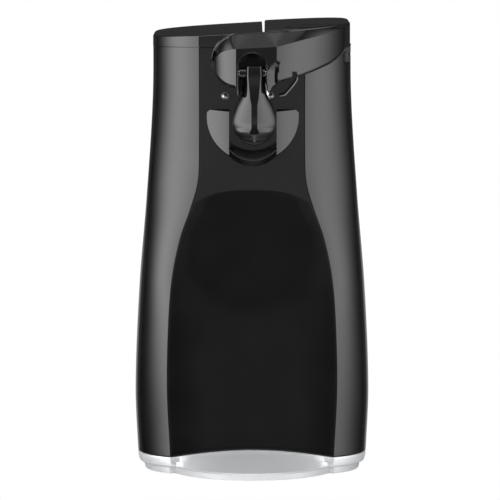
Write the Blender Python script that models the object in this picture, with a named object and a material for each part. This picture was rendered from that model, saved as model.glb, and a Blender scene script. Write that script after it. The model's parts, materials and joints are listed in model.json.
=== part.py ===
"""Electric can opener: housings, base, piercing lever, magnet arm, cutter, gear train and motor.

All sizes are millimetres in this file and are turned into metres when a mesh is made.
The front faces -Y, +Z is up, and the origin is on the table under the middle of the body.
"""
import math

import bmesh
import bpy
from mathutils import Matrix, Vector

MM = 0.001
GAP = 0.3            # running gap between neighbouring pieces
WALL = 2.4           # housing wall thickness

# Body shell
BASE_SEAM = 10.25    # height of the joint between base and housing
BASE_SEAM_ARCH = 2.4 # how much that joint rises at the front centre
CAP_SEAM = 225.6     # height of the joint between housing and top cap
TOP_HEIGHT = 235.1   # top plane over the origin
TOP_RISE_X = 0.056   # the top plane rises to the right
TOP_RISE_Y = 0.045   # and to the back
PANEL_Y = -38.0      # flat front panel
WIDE_Y = -8.0        # where the body is widest
SPLIT_Y = 14.0       # joint between front and rear housing
COLUMN_ANGLE = 25.0  # degrees that the side columns turn away at the crease
REAR_ROUNDING = 0.72 # 1 would make the rear an ellipse, less makes it squarer
HALF_WIDTH = ((0, 60.3), (12, 61.1), (45, 62.3), (99, 60.0), (147, 56.0), (200, 52.6), (245, 52.4))
CREASE_X = ((0, 42.4), (45, 44.2), (80, 43.5), (105, 41.5), (126, 37.2), (141, 32.0), (155, 28.0), (170, 27.2),
            (245, 27.2))
BACK_Y = ((0, 58.4), (120, 56.0), (245, 49.0))
REAR_STEPS = 7       # points round one rear corner
HOUSING_LEVELS = (10.4, 22, 45, 72, 98, 116, 131, 142, 150, 158, 190, 225.45)

# Scoop in the lower front
SCOOP_TOP = 151.0
SCOOP_DROP = 6.0     # the scoop's top edge falls this much at its ends
SCOOP_HALF = 28.0
SCOOP_LENGTH = 85.0
SCOOP_DEPTH = 9.5

# Raised can rest round the drive wheel
BOSS_X, BOSS_Z, BOSS_R = 0.4, 189.5, 24.0
BOSS_CHORD = 193.5     # height of its straight top edge
CHANNEL_HALF = 12.35
LEDGE_Y = -45.4        # front of the ledge under the channel
LEDGE_R, LEDGE_BOTTOM, LEDGE_LIFT = 16.8, 163.5, 3.6
GROOVE_R, GROOVE_TILT, GROOVE_LIP = 18.0, 25.0, 168.4

# Lever and what it carries
PIVOT = (-9.0, 219.0)      # x, z of the lever's pin
LEVER_END_R = 12.0
LEVER_PROUD = 0.7          # the lever's top stands this much above the cap
LEVER_PLATE = 2.0
LEVER_INSET = 0.7
SLOT_X = (5.5, 6.9)        # slot between the cap and the lever
LEVER_FRONT = -58.0
LEVER_CREASE_X = 12.5
SKIRT_BOTTOM = 227.1
SKIRT_LEFT = 18.5
ARM_X = 1.2
ARM_HINGE = (-53.0, 213.0) # y, z
CUTTER = (2.0, 204.2)      # x, z
CUTTER_R = 7.1

# Gear train, x and z of each shaft; every gear has module 1
DRIVE = (1.2, 191.0)
DRIVE_WHEEL_R = 7.0
OUTPUT_TEETH, SECOND_PINION, SECOND_TEETH = 42, 12, 36
FIRST_PINION, FIRST_TEETH, ROTOR_PINION = 10, 34, 10
MESH_GAP = 0.15
SECOND_DIRECTION = -60.0   # degrees from +X, from the drive shaft to the second shaft
FIRST_DIRECTION = -143.0
ROTOR_DIRECTION = -80.0
PLATE_FRONT_Y = -19.9
PLATE_REAR_Y = -2.0
PLATE_T = 1.3

# Motor
STATOR_Y = (12.0, 32.0)
ROTOR_R = 13.8
MOTOR_SHAFT_R = 2.4

# Places of small parts
GUIDE_PINS = {"guide_pin_left": (-14.2, 200.2), "guide_pin_right": (9.4, 200.4)}  # x, z
REAR_SCREWS = ((-26.0, 30.0), (26.0, 30.0), (-24.0, 200.0), (24.0, 200.0))        # x, z
SCREW_DEPTH = 1.5          # how deep the rear screw heads sit
CORD_INLET = (0.0, 26.0)   # x, z
PLUNGER = (30.0, 8.0)      # x, y
FEET = ((-36.0, -20.0), (36.0, -20.0), (-34.0, 40.0), (34.0, 40.0))               # x, y
TONGUE_Y = -58.0           # front of the base's round tongue
TONGUE_R = 42.0
TONGUE_HALF = 41.0


# ---------------------------------------------------------------- helpers

def clear_scene():
    for obj in list(bpy.data.objects):
        bpy.data.objects.remove(obj, do_unlink=True)


def make_material(name, colour, roughness, metallic=0.0):
    mat = bpy.data.materials.new(name)
    mat.use_nodes = True
    bsdf = mat.node_tree.nodes["Principled BSDF"]
    bsdf.inputs["Base Color"].default_value = (*colour, 1.0)
    bsdf.inputs["Roughness"].default_value = roughness
    bsdf.inputs["Metallic"].default_value = metallic
    mat.diffuse_color = (*colour, 1.0)
    return mat


FINISHES = {
    "black_gloss": ((0.012, 0.012, 0.014), 0.10, 0.0),
    "silver_plastic": ((0.62, 0.63, 0.65), 0.35, 0.3),
    "black_matte": ((0.03, 0.03, 0.032), 0.6, 0.0),
    "steel": ((0.72, 0.73, 0.75), 0.22, 1.0),
    "zinc_plate": ((0.55, 0.56, 0.58), 0.4, 1.0),
    "nylon": ((0.86, 0.84, 0.78), 0.45, 0.0),
    "copper": ((0.72, 0.32, 0.14), 0.35, 1.0),
    "rubber": ((0.02, 0.02, 0.02), 0.85, 0.0),
    "bronze": ((0.55, 0.38, 0.18), 0.35, 1.0),
    "magnet": ((0.10, 0.10, 0.11), 0.4, 0.6),
    "stone": ((0.55, 0.54, 0.50), 0.8, 0.0),
}


def add_object(name, bm, finish, origin=(0, 0, 0), sharp=35):
    """Turn a bmesh in millimetres into an object whose origin is at the given point."""
    bmesh.ops.remove_doubles(bm, verts=bm.verts, dist=0.001)
    bmesh.ops.recalc_face_normals(bm, faces=bm.faces)
    place = Matrix.Scale(MM, 4) @ Matrix.Translation(-Vector(origin))
    bmesh.ops.transform(bm, matrix=place, verts=bm.verts)
    mesh = bpy.data.meshes.new(name)
    bm.to_mesh(mesh)
    bm.free()
    mesh.shade_smooth()
    mesh.set_sharp_from_angle(angle=math.radians(sharp))
    obj = bpy.data.objects.new(name, mesh)
    bpy.context.scene.collection.objects.link(obj)
    obj.location = Vector(origin) * MM
    if finish is None:
        obj.hide_render = True
        obj.display_type = "WIRE"
    else:
        mesh.materials.append(make_material(name, *FINISHES[finish]))
    return obj


def boolean(target, other, operation):
    """Combine two objects with a Boolean; the second one stays as a hidden guide."""
    other.hide_render = True
    other.display_type = "WIRE"
    mod = target.modifiers.new(operation.lower(), "BOOLEAN")
    mod.operation = operation
    mod.solver = "EXACT"
    mod.object = other


def cut(target, *cutters):
    for cutter in cutters:
        boolean(target, cutter, "DIFFERENCE")


def unite(target, *others):
    for other in others:
        boolean(target, other, "UNION")


def loft_bmesh(loops, cyclic=False, caps=True):
    """Join equal loops of points with quads; cyclic closes the last loop onto the first."""
    bm = bmesh.new()
    rings = [[bm.verts.new(p) for p in loop] for loop in loops]
    count = len(rings[0])
    pairs = list(zip(rings, rings[1:]))
    if cyclic:
        pairs.append((rings[-1], rings[0]))
    for low, high in pairs:
        for i in range(count):
            j = (i + 1) % count
            bm.faces.new((low[i], low[j], high[j], high[i]))
    if caps and not cyclic:
        bm.faces.new(rings[0])
        bm.faces.new(rings[-1])
    return bm


def band_loft_bmesh(levels):
    """Loft an open band; each level is (outer points, inner points)."""
    loops = [outer + inner[::-1] for outer, inner in levels]
    bm = loft_bmesh(loops, caps=False)
    bm.verts.ensure_lookup_table()
    count = len(levels[0][0])
    for level in (0, len(levels) - 1):
        first = level * 2 * count
        for i in range(count - 1):
            opposite = 2 * count - 1 - i
            corners = (i, i + 1, opposite - 1, opposite)
            bm.faces.new([bm.verts[first + c] for c in corners])
    return bm


def prism(name, outline, low, high, finish=None, axis="Y", origin=(0, 0, 0)):
    """Extrude a flat outline. Axis Y takes (x, z) points, axis Z takes (x, y), axis X takes (y, z)."""
    place = {
        "Y": lambda a, b, t: (a, t, b),
        "Z": lambda a, b, t: (a, b, t),
        "X": lambda a, b, t: (t, a, b),
    }[axis]
    loops = [[place(a, b, t) for a, b in outline] for t in (low, high)]
    return add_object(name, loft_bmesh(loops), finish, origin)


def block(name, x, y, z, finish=None, origin=(0, 0, 0)):
    return prism(name, [(x[0], y[0]), (x[1], y[0]), (x[1], y[1]), (x[0], y[1])], z[0], z[1], finish, "Z", origin)


def circle(cx, cz, radius, segments=24, start=0.0):
    turn = 2 * math.pi / segments
    return [(cx + radius * math.cos(start + turn * i), cz + radius * math.sin(start + turn * i))
            for i in range(segments)]


def turned(name, profile, centre, finish, segments=20, axis="Y", bore=0.0):
    """Spin (position, radius) pairs about an axis through centre; bore leaves a hole."""
    cx, cz = centre
    place = {
        "Y": lambda a, b, t: (a, t, b),
        "Z": lambda a, b, t: (a, b, t),
        "X": lambda a, b, t: (t, a, b),
    }[axis]
    loops = [[place(a, b, t) for a, b in circle(cx, cz, r, segments)] for t, r in profile]
    origin = place(cx, cz, profile[0][0])
    if bore:
        for t in (profile[-1][0], profile[0][0]):
            loops.append([place(a, b, t) for a, b in circle(cx, cz, bore, segments)])
        return add_object(name, loft_bmesh(loops, cyclic=True), finish, origin)
    return add_object(name, loft_bmesh(loops), finish, origin)


def smooth_curve(stations, t):
    """Cubic through a few stations, with level ends."""
    if t <= stations[0][0]:
        return stations[0][1]
    if t >= stations[-1][0]:
        return stations[-1][1]
    k = max(i for i, s in enumerate(stations) if s[0] <= t)
    (t0, v0), (t1, v1) = stations[k], stations[k + 1]

    def tangent(i):
        if i in (0, len(stations) - 1):
            return 0.0
        (ta, va), (tb, vb) = stations[i - 1], stations[i + 1]
        return (vb - va) / (tb - ta)

    span = t1 - t0
    s = (t - t0) / span
    return ((2 * s ** 3 - 3 * s ** 2 + 1) * v0 + (s ** 3 - 2 * s ** 2 + s) * span * tangent(k)
            + (3 * s ** 2 - 2 * s ** 3) * v1 + (s ** 3 - s ** 2) * span * tangent(k + 1))


# ---------------------------------------------------------------- body outline

def top_plane(x, y, offset=0.0):
    return TOP_HEIGHT + TOP_RISE_X * x + TOP_RISE_Y * y + offset


def scoop_depth(x, z, crease):
    """How far the front is hollowed at this place."""
    edge = SCOOP_TOP - SCOOP_DROP * min(1.0, abs(x) / SCOOP_HALF) ** 3
    below = (edge - z) / SCOOP_LENGTH
    if below <= 0:
        return 0.0
    fall = 1 - (1 - min(below, 1.0)) ** 2
    across = 1 - min(1.0, abs(x) / crease) ** 2.4
    return SCOOP_DEPTH * fall * across


def half_outline(z, panel=5, column=5, rear=REAR_STEPS):
    """Right half of the body outline at height z, from the front centre to the back centre."""
    crease = smooth_curve(CREASE_X, z)
    wide = smooth_curve(HALF_WIDTH, z)
    back = smooth_curve(BACK_Y, z)
    points = []
    for i in range(panel):
        x = crease * i / panel
        points.append((x, PANEL_Y + scoop_depth(x, z, crease)))
    corner_y = PANEL_Y + (wide - crease) * math.tan(math.radians(COLUMN_ANGLE))
    for i in range(column + 1):
        t = i / column
        a, b, c = (1 - t) ** 2, 2 * t * (1 - t), t * t
        points.append((a * crease + (b + c) * wide, a * PANEL_Y + b * corner_y + c * WIDE_Y))
    for i in range(rear + 1):
        t = 0.5 * math.pi * i / rear
        x = wide * math.cos(t) ** REAR_ROUNDING
        points.append((x if i < rear else 0.0, SPLIT_Y + (back - SPLIT_Y) * math.sin(t) ** REAR_ROUNDING))
    return points


def full_outline(z, **detail):
    half = half_outline(z, **detail)
    left = [(-x, y) for x, y in half[1:-1]][::-1]
    return half + left


def offset_loop(points, distance, closed=True):
    """Move an anticlockwise outline inwards by a distance."""
    moved = []
    count = len(points)
    for i, (x, y) in enumerate(points):
        before = points[i - 1] if closed or i else points[0]
        after = points[(i + 1) % count] if closed or i < count - 1 else points[-1]
        d1 = Vector((x - before[0], y - before[1]))
        d2 = Vector((after[0] - x, after[1] - y))
        d1 = d1.normalized() if d1.length > 1e-6 else d2.normalized()
        d2 = d2.normalized() if d2.length > 1e-6 else d1
        n1, n2 = Vector((-d1.y, d1.x)), Vector((-d2.y, d2.x))
        normal = (n1 + n2).normalized()
        stretch = distance / max(0.6, normal.dot(n1))
        moved.append((x + normal.x * stretch, y + normal.y * stretch))
    return moved


def clip_x(points, low, high):
    """Keep the part of a convex outline between two x values."""
    for limit, sign in ((low, 1), (high, -1)):
        kept = []
        for (x0, y0), (x1, y1) in zip(points, points[1:] + points[:1]):
            inside0, inside1 = sign * (x0 - limit) >= 0, sign * (x1 - limit) >= 0
            if inside0:
                kept.append((x0, y0))
            if inside0 != inside1:
                t = (limit - x0) / (x1 - x0)
                kept.append((limit, y0 + t * (y1 - y0)))
        points = kept
    return points


def slab(name, inset, low, high, x_low=-90.0, x_high=90.0, finish=None):
    """Solid inside the top outline; low and high are heights or offsets from the top plane."""
    outline = clip_x(offset_loop(full_outline(240.0), inset), x_low, x_high)

    def height(limit, x, y):
        return limit if limit > 100 else top_plane(x, y, limit)

    loops = [[(x, y, height(limit, x, y)) for x, y in outline] for limit in (low, high)]
    return add_object(name, loft_bmesh(loops), finish)


# ---------------------------------------------------------------- housings

def seam_arch(x):
    """How much the base joint rises at this x of the front."""
    return BASE_SEAM_ARCH * max(0.0, 1 - (x / TONGUE_HALF) ** 2)


def lift_front(z, x):
    """Raise the lowest rows of the front so that they follow the arched base joint."""
    return z + seam_arch(x) * max(0.0, 1 - (z - BASE_SEAM) / 30.0)


def housing_shell(name, rear):
    levels = []
    for z in HOUSING_LEVELS:
        half = half_outline(z)
        split = len(half) - REAR_STEPS - 1
        side = half[split:] if rear else half[:split + 1]
        mirrored = [(-x, y) for x, y in side if x > 0]
        outer = side + mirrored[::-1] if rear else mirrored[::-1] + side
        if rear:
            outer[0] = (outer[0][0], SPLIT_Y + GAP / 2)
            outer[-1] = (outer[-1][0], SPLIT_Y + GAP / 2)
        else:
            outer[0] = (outer[0][0], SPLIT_Y - GAP / 2)
            outer[-1] = (outer[-1][0], SPLIT_Y - GAP / 2)
        inner = offset_loop(outer, WALL, closed=False)
        place = [(x, y, z if rear else lift_front(z, x)) for x, y in outer]
        inside = [(x, y, z if rear else lift_front(z, x)) for x, y in inner]
        levels.append((place, inside))
    return add_object(name, band_loft_bmesh(levels), "black_gloss")


def boss_outline(grow):
    """D-shaped outline of the can rest with small round corners at its straight top."""
    radius, chord = BOSS_R + grow, BOSS_CHORD + grow
    rise = chord - BOSS_Z
    end = math.asin(rise / radius)
    points = []
    for i in range(25):
        angle = math.pi - end + 0.10 + (math.pi + 2 * end - 0.20) * i / 24
        points.append((BOSS_X + radius * math.cos(angle), BOSS_Z + radius * math.sin(angle)))
    corner = math.sqrt(radius ** 2 - rise ** 2) - 1.8
    return points + [(BOSS_X + corner, chord), (BOSS_X - corner, chord)]


def lobe_y(distance):
    """Front of the can rest at this distance from its middle; it slopes back to the panel."""
    reach = BOSS_R + 0.4 - CHANNEL_HALF
    u = (BOSS_R + 0.4 - distance) / reach
    return PANEL_Y - 0.2 - reach * (0.70 * u - 0.11 * u * u)


def ledge_outline(lift, steps=12):
    """Outline of the ledge under the channel: round below, straight sides up into the lobes."""
    half = CHANNEL_HALF + 0.25
    points = []
    for i in range(steps + 1):
        x = half * (2 * i / steps - 1)
        points.append((BOSS_X + x, LEDGE_BOTTOM + LEDGE_R + lift - math.sqrt(LEDGE_R ** 2 - x * x)))
    return points + [(BOSS_X + half, 181.0), (BOSS_X - half, 181.0)]


def add_can_rest(housing):
    levels = ((-47.0, -1.2), (PANEL_Y + 0.5, 0.08), (PANEL_Y + 1.4, 0.08))
    loops = [[(x, y, z) for x, z in boss_outline(grow)] for y, grow in levels]
    lobes = add_object("can_rest_lobes", loft_bmesh(loops), None)
    distances = (34.0, 24.4, 21.4, 18.4, 15.4, 12.0)
    faces = [(d, lobe_y(abs(d))) for d in distances + tuple(-d for d in reversed(distances))]
    ahead = [(BOSS_X + x, y) for x, y in [(-34.0, -60.0), (34.0, -60.0)] + faces]
    sides = (BOSS_X - CHANNEL_HALF, BOSS_X + CHANNEL_HALF)
    cut(lobes, prism("lobe_faces", ahead, 150.0, 215.0, axis="Z"))
    cut(lobes, block("can_channel", sides, (-60.0, -30.0), (150.0, 215.0)))
    levels = ((LEDGE_Y, LEDGE_LIFT), (PANEL_Y + 0.5, 0.0), (PANEL_Y + 1.4, 0.0))
    ledge = add_object("can_ledge", loft_bmesh([[(x, y, z) for x, z in ledge_outline(lift)]
                                                for y, lift in levels]), None)
    tilt = math.tan(math.radians(GROOVE_TILT))
    loops = []
    for y in (-56.0, -30.0):
        centre = GROOVE_R + GROOVE_LIP + (y - LEDGE_Y) * tilt
        loops.append([(x, y, z) for x, z in circle(BOSS_X, centre, GROOVE_R, 32)])
    cut(ledge, add_object("ledge_groove", loft_bmesh(loops), None))
    unite(housing, lobes, ledge)


def front_housing():
    housing = housing_shell("front_housing", rear=False)
    add_can_rest(housing)
    cut(housing, turned("drive_hole", [(-40, 7.4), (-16, 7.4)], DRIVE, None, 20))
    cut(housing, turned("pivot_hole", [(-42, 3.4), (-30, 3.4)], PIVOT, None, 16))
    for name, (x, z) in GUIDE_PINS.items():
        cut(housing, turned(name + "_hole", [(-42, 2.1), (-30, 2.1)], (x, z), None, 12))
    cut(housing, block("sharpener_notch", (48.2, 60.0), (-30.0, -4.0), (217.0, 230.0)))
    return housing


def rear_surface(x, z):
    """The y of the rear housing's outside at this x and z."""
    back, wide = smooth_curve(BACK_Y, z), smooth_curve(HALF_WIDTH, z)
    power = REAR_ROUNDING / 2
    return SPLIT_Y + (back - SPLIT_Y) * (1 - (abs(x) / wide) ** (1 / power)) ** power


def rear_housing():
    housing = housing_shell("rear_housing", rear=True)
    cut(housing, turned("cord_inlet_hole", [(50, 7.0), (70, 7.0)], CORD_INLET, None, 16))
    for i, (x, z) in enumerate(REAR_SCREWS):
        seat = rear_surface(x, z) - SCREW_DEPTH
        profile = [(40, 2.2), (seat, 2.2), (seat, 3.8), (70, 3.8)]
        cut(housing, turned(f"rear_screw_hole_{i + 1}", profile, (x, z), None, 12))
    for i in range(7):
        z = 52.0 + 7.0 * i
        cut(housing, block(f"vent_{i + 1}", (-22, 22), (40, 70), (z, z + 2.6)))
    return housing


def top_cap():
    cap = slab("top_cap", 0.0, CAP_SEAM + 0.15, 0.0, finish="black_gloss")
    lever_space = slab("lever_space", -3.0, -1.8, 30.0, x_low=SLOT_X[1])
    skirt_space = slab("skirt_space", -3.0, 226.75, 30.0, x_low=13.6)
    cut(skirt_space, slab("deck_keep", 4.6, 220.0, 35.0, x_high=46.0))
    slot = block("slot_cut", SLOT_X, (-60, 70), (230.5, 250))
    left_hollow = slab("left_hollow", 2.4, 215.0, -2.4, x_high=3.1)
    middle_hollow = slab("middle_hollow", 2.8, 214.0, 228.2, x_low=0.0, x_high=16.0)
    right_hollow = slab("right_hollow", 7.0, 213.0, -4.2, x_low=9.4, x_high=43.6)
    plunger_hole = turned("plunger_hole", [(210, 3.4), (245, 3.4)], PLUNGER, None, 14, axis="Z")
    cut(cap, lever_space, skirt_space, slot, left_hollow, middle_hollow, right_hollow, plunger_hole)
    return cap


# ---------------------------------------------------------------- base

def base_point(x, y, tongue, rise):
    """A point of the base outline: the inset body outline, pushed out to the round tongue."""
    if abs(x) < TONGUE_HALF and y < 0:
        front = TONGUE_Y + TONGUE_R - math.sqrt(TONGUE_R ** 2 - (x * 0.93) ** 2)
        front = min(front, y)
        return x, y + (front + rise - y) * tongue
    return x, y


def base_loop(z, inset, tongue, rise=0.0, front_z=None):
    """The base outline at height z; front_z is its height at the front centre."""
    outline = full_outline(BASE_SEAM)
    inner = offset_loop(outline, inset)
    loop = []
    for (x0, y0), (x, y) in zip(outline, inner):
        px, py = base_point(x, y, tongue, rise)
        height = z
        if front_z is not None and abs(x0) < TONGUE_HALF and y0 < 0:
            height = z + (front_z - z) * (1 - (x0 / TONGUE_HALF) ** 2)
        loop.append((px, py, height))
    return loop


def base_shell():
    seam = BASE_SEAM - 0.15
    top = seam + BASE_SEAM_ARCH
    outer = [
        base_loop(seam, 0.0, 0.0, front_z=top),
        base_loop(8.2, 0.2, 0.35, front_z=8.0),
        base_loop(6.6, 0.5, 0.7, front_z=5.8),
        base_loop(5.2, 1.0, 1.0, front_z=4.8),
        base_loop(4.4, 3.2, 1.0, 0.8, front_z=3.7),
        base_loop(0.8, 3.8, 1.0, 1.8),
    ]
    inner = [
        base_loop(0.8, 6.2, 1.0, 4.2),
        base_loop(2.6, 5.6, 1.0, 3.8, front_z=2.4),
        base_loop(4.0, 3.2, 0.7, 3.0, front_z=3.4),
        base_loop(6.0, 2.7, 0.3, 2.0, front_z=6.4),
        base_loop(seam, 2.4, 0.0, front_z=top),
    ]
    return add_object("base_shell", loft_bmesh(outer + inner, cyclic=True), "silver_plastic")


def base_plate():
    outline = [(x, y) for x, y, z in base_loop(0.0, 7.8, 1.0, 7.9)]
    loops = [[(x, y, z) for x, y in outline] for z in (0.9, 2.9)]
    plate = add_object("base_plate", loft_bmesh(loops), "black_matte")
    for i, (x, y) in enumerate(FEET):
        cut(plate, turned(f"foot_seat_{i + 1}", [(-1, 4.3), (5, 4.3)], (x, y), None, 16, axis="Z"))
    return plate


def rubber_foot(index):
    profile = [(0.0, 6.0), (0.6, 6.5), (0.6, 4.0), (3.6, 4.0)]
    return turned(f"rubber_foot_{index + 1}", profile, FEET[index], "rubber", 16, axis="Z")


# ---------------------------------------------------------------- lever

def lever_front(x):
    """How far forward the lever's face stands at this x."""
    if x < -8.3:
        t = 1 - math.sqrt(1 - min(1.0, (-8.3 - x) / 12.8))
        return (1 - t) ** 2 * LEVER_FRONT + 2 * t * (1 - t) * -51.5 + t * t * -44.5
    if x <= LEVER_CREASE_X:
        return LEVER_FRONT
    low, high = 0.0, 1.0
    for _ in range(24):
        t = (low + high) / 2
        at = (1 - t) ** 2 * LEVER_CREASE_X + (2 * t * (1 - t) + t * t) * 52.0
        low, high = (t, high) if at < x else (low, t)
    return (1 - t) ** 2 * LEVER_FRONT + 2 * t * (1 - t) * -37.7 + t * t * -8.0


def lever_back(x):
    """Back face of the lever's front part, just clear of the panel and the right column."""
    crease, wide = 27.2, 52.45
    if x <= crease:
        return PANEL_Y - 0.8
    x = min(x, wide - 0.1)
    t = (math.sqrt(max(0.0, 1 - (x - crease) / (wide - crease))) * -1) + 1
    corner_y = PANEL_Y + (wide - crease) * math.tan(math.radians(COLUMN_ANGLE))
    return (1 - t) ** 2 * PANEL_Y + 2 * t * (1 - t) * corner_y + t * t * WIDE_Y - 0.9


# x, z of the front part's lower edge, then the x of its sections
LEVER_UNDERSIDE = ((-9.0, 204.9), (-8.2, 203.4), (-7.6, 201.2), (6.4, 201.2), (7.2, 202.8), (9.4, 202.8),
                   (10.4, 205.0), (14.8, 208.6), (25.7, 211.2), (33.1, 213.8), (40.5, 217.0), (46.3, 221.0),
                   (50.0, 225.0), (52.0, 227.0))
LEVER_STATIONS = (-21.0, -20.2, -18.5, -16, -13, -11, -9, -8.2, -7.6, 6.4, 7.2, 9.4, 10.4, 12.5, 15, 18.5, 18.6, 23,
                  27.2, 32, 37, 42, 46.3, 49, 50.8, 51.7)


def lever_bottom(x):
    if x <= -9.0:
        return 219.3 - 14.4 * math.sqrt(1 - ((x + 9.0) / 12.1) ** 2)
    for (xa, za), (xb, zb) in zip(LEVER_UNDERSIDE, LEVER_UNDERSIDE[1:]):
        if x <= xb:
            return za + (zb - za) * (x - xa) / (xb - xa)
    return LEVER_UNDERSIDE[-1][1]


def lever_top(x):
    plane = top_plane(x, lever_front(x) + 5.0, LEVER_PROUD)
    if x < PIVOT[0]:
        return PIVOT[1] + (plane - PIVOT[1]) / LEVER_END_R * math.sqrt(
            max(0.0, LEVER_END_R ** 2 - (x - PIVOT[0]) ** 2))
    return plane


def lever_section(x):
    """Closed profile of the lever's front part at one x, as (y, z) points."""
    front, back, low, high = lever_front(x), lever_back(x), lever_bottom(x), lever_top(x)
    inner = back
    step = min(max(low + 0.2, SKIRT_BOTTOM), high - 0.2)
    if x > SKIRT_LEFT + 0.05:
        inner = back + 3.4
    front = min(front, back - 0.6)
    chamfer = max(0.4, 7.0 * (1 - max(0.0, x) / 52.0))
    chamfer = min(chamfer, 0.6 * (high - low))
    setback = min(0.7 * chamfer, 0.5 * (back - front))
    under = min(1.5, 0.2 * (high - low))
    return [(back, low), (front + min(under, 0.4 * (back - front)), low), (front, low + under),
            (front, high - chamfer), (front + setback, high), (inner, high), (inner, step), (back, step)]


def piercing_lever():
    loops = [[(x, y, z) for y, z in lever_section(x)] for x in LEVER_STATIONS]
    lever = add_object("piercing_lever", loft_bmesh(loops), "black_gloss", (PIVOT[0], -48.0, PIVOT[1]), 28)
    plate = slab("lever_plate", LEVER_INSET, LEVER_PROUD - LEVER_PLATE, LEVER_PROUD, x_low=SLOT_X[1])
    skirt = slab("lever_skirt", LEVER_INSET + 0.02, SKIRT_BOTTOM, LEVER_PROUD - 0.6, x_low=SKIRT_LEFT)
    cut(skirt, slab("skirt_inside", LEVER_INSET + 2.2, 215.0, 30.0, x_low=-60.0))
    unite(lever, plate, skirt)
    arch = [(-7.2, 190.0), (10.4, 190.0), (7.2, 208.0), (7.0, 216.2)]
    arch += [(0.1 + 6.9 * math.cos(a), 216.2 + 6.8 * math.sin(a)) for a in
             (math.pi * i / 12 for i in range(1, 12))] + [(-6.8, 216.2)]
    cut(lever, prism("arch_slot", arch, -70.0, -45.6))
    cut(lever, turned("cutter_space", [(-49.0, CUTTER_R + 1.2), (-45.5, CUTTER_R + 1.2)], CUTTER, None, 28))
    cut(lever, turned("cutter_screw_hole", [(-50, 1.9), (-30, 1.9)], CUTTER, None, 12))
    cut(lever, turned("pivot_bore", [(-52.6, 3.4), (-30, 3.4)], PIVOT, None, 16))
    cut(lever, turned("arm_pin_bore", [(-10.5, 1.75), (12.5, 1.75)], ARM_HINGE, None, 12, axis="X"))
    underside = prism("underside_pocket", [(12.0, 200.0), (26.5, 200.0), (23.0, 213.6), (16.0, 213.6), (12.0, 209.0)],
                      -53.0, -40.6)
    cut(lever, underside)
    return lever


def arm_half_width(z):
    """Half width of the magnet arm at height z: a slim neck that swells into a round bulb."""
    return smooth_curve(((175.1, 0.0), (176.4, 4.6), (180.2, 9.0), (186.5, 11.3), (194, 9.9), (203, 6.2),
                         (212, 5.3), (216.0, 5.1)), z)


def magnet_arm():
    heights = (175.3, 176.2, 178.2, 181, 184, 187.5, 191, 195, 199, 203, 208, 213, 216.2)
    loops = []
    for z in heights:
        half = arm_half_width(z)
        depth = min(4.6 + 0.25 * half, 0.55 * half + 2.0)
        power = 1.25 + 2.25 * min(1.0, max(0.0, (z - 196.0) / 10.0))  # a ridge below, a flat front above
        back = -50.2
        front = []
        for i in range(11):
            u = math.sin(math.pi * (-0.5 + i / 10))
            front.append((half * u, back - 1.2 - depth * max(0.0, 1 - abs(u) ** power) ** (1 / power)))
        rear = [(half * 0.8, back), (-half * 0.8, back)]
        loops.append([(ARM_X + x, y, z) for x, y in front + rear])
    arm = add_object("magnet_arm", loft_bmesh(loops), "black_gloss", (ARM_X, *ARM_HINGE))
    unite(arm, turned("arm_knuckles", [(-6.3, 2.6), (6.6, 2.6)], ARM_HINGE, None, 16, axis="X"))
    cut(arm, turned("arm_bore", [(-10.0, 1.75), (12.5, 1.75)], ARM_HINGE, None, 12, axis="X"))
    return arm


def lever_parts():
    turned("magnet_arm_pin", [(-10.2, 1.4), (12.2, 1.4)], ARM_HINGE, "steel", 12, axis="X")
    turned("lid_magnet", [(-49.9, 7.4), (-49.4, 7.8), (-47.4, 7.8), (-47.0, 7.4)], (ARM_X, 186.0), "magnet", 24)
    turned("cutter_wheel", [(-47.9, CUTTER_R - 1.2), (-47.2, CUTTER_R), (-46.4, CUTTER_R)], CUTTER, "steel", 28,
           bore=2.3)
    turned("cutter_screw", [(-48.9, 3.4), (-48.2, 3.6), (-48.2, 1.6), (-39.4, 1.6)], CUTTER, "steel", 16)
    turned("lever_pivot_pin", [(-52.2, 3.0), (-33.2, 3.0), (-33.2, 5.2), (-31.4, 5.2), (-31.4, 2.2), (-26.0, 2.2)],
           PIVOT, "steel", 16)
    turned("pivot_retainer", [(-31.1, 4.6), (-30.1, 4.6)], PIVOT, "zinc_plate", 16, bore=2.5)
    for name, place in GUIDE_PINS.items():
        profile = [(-44.2, 1.3), (-43.8, 1.7), (-34.8, 1.7), (-34.8, 3.2), (-33.0, 3.2)]
        turned(name, profile, place, "steel", 14)


def can_guide_plate():
    """Bent steel strip under the lever that keeps the can rim from tipping."""
    centre = [(14.4, 200.9), (17.0, 201.4), (20.2, 205.0), (23.4, 209.2), (23.4, 211.0)]
    low = [(x + 0.45, z - 0.35) for x, z in centre]
    high = [(x - 0.45, z + 0.35) for x, z in centre]
    return prism("can_guide_plate", low + high[::-1], -52.2, -42.4, "steel")


# ---------------------------------------------------------------- drive train

def toward(place, distance, degrees):
    angle = math.radians(degrees)
    return place[0] + distance * math.cos(angle), place[1] + distance * math.sin(angle)


def gear_outline(place, teeth, mesh_direction, gap_there):
    """Gear outline of module 1 with a tooth, or a gap, centred on one direction."""
    turn = 2 * math.pi / teeth
    start = math.radians(mesh_direction) + (turn / 2 if gap_there else 0.0)
    pitch = teeth / 2
    points = []
    for i in range(teeth):
        middle = start + turn * i
        for share, radius in ((-0.29, pitch - 1.2), (-0.10, pitch + 0.8), (0.10, pitch + 0.8), (0.29, pitch - 1.2)):
            angle = middle + share * turn
            points.append((place[0] + radius * math.cos(angle), place[1] + radius * math.sin(angle)))
    return points


def gear(name, place, y, teeth, mesh_direction, gap_there, bore, finish="nylon"):
    body = prism(name, gear_outline(place, teeth, mesh_direction, gap_there), y[0], y[1], finish, "Y",
                 (place[0], y[0], place[1]))
    cut(body, turned(name + "_bore", [(y[0] - 3, bore), (y[1] + 3, bore)], place, None, 14))
    return body


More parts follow.
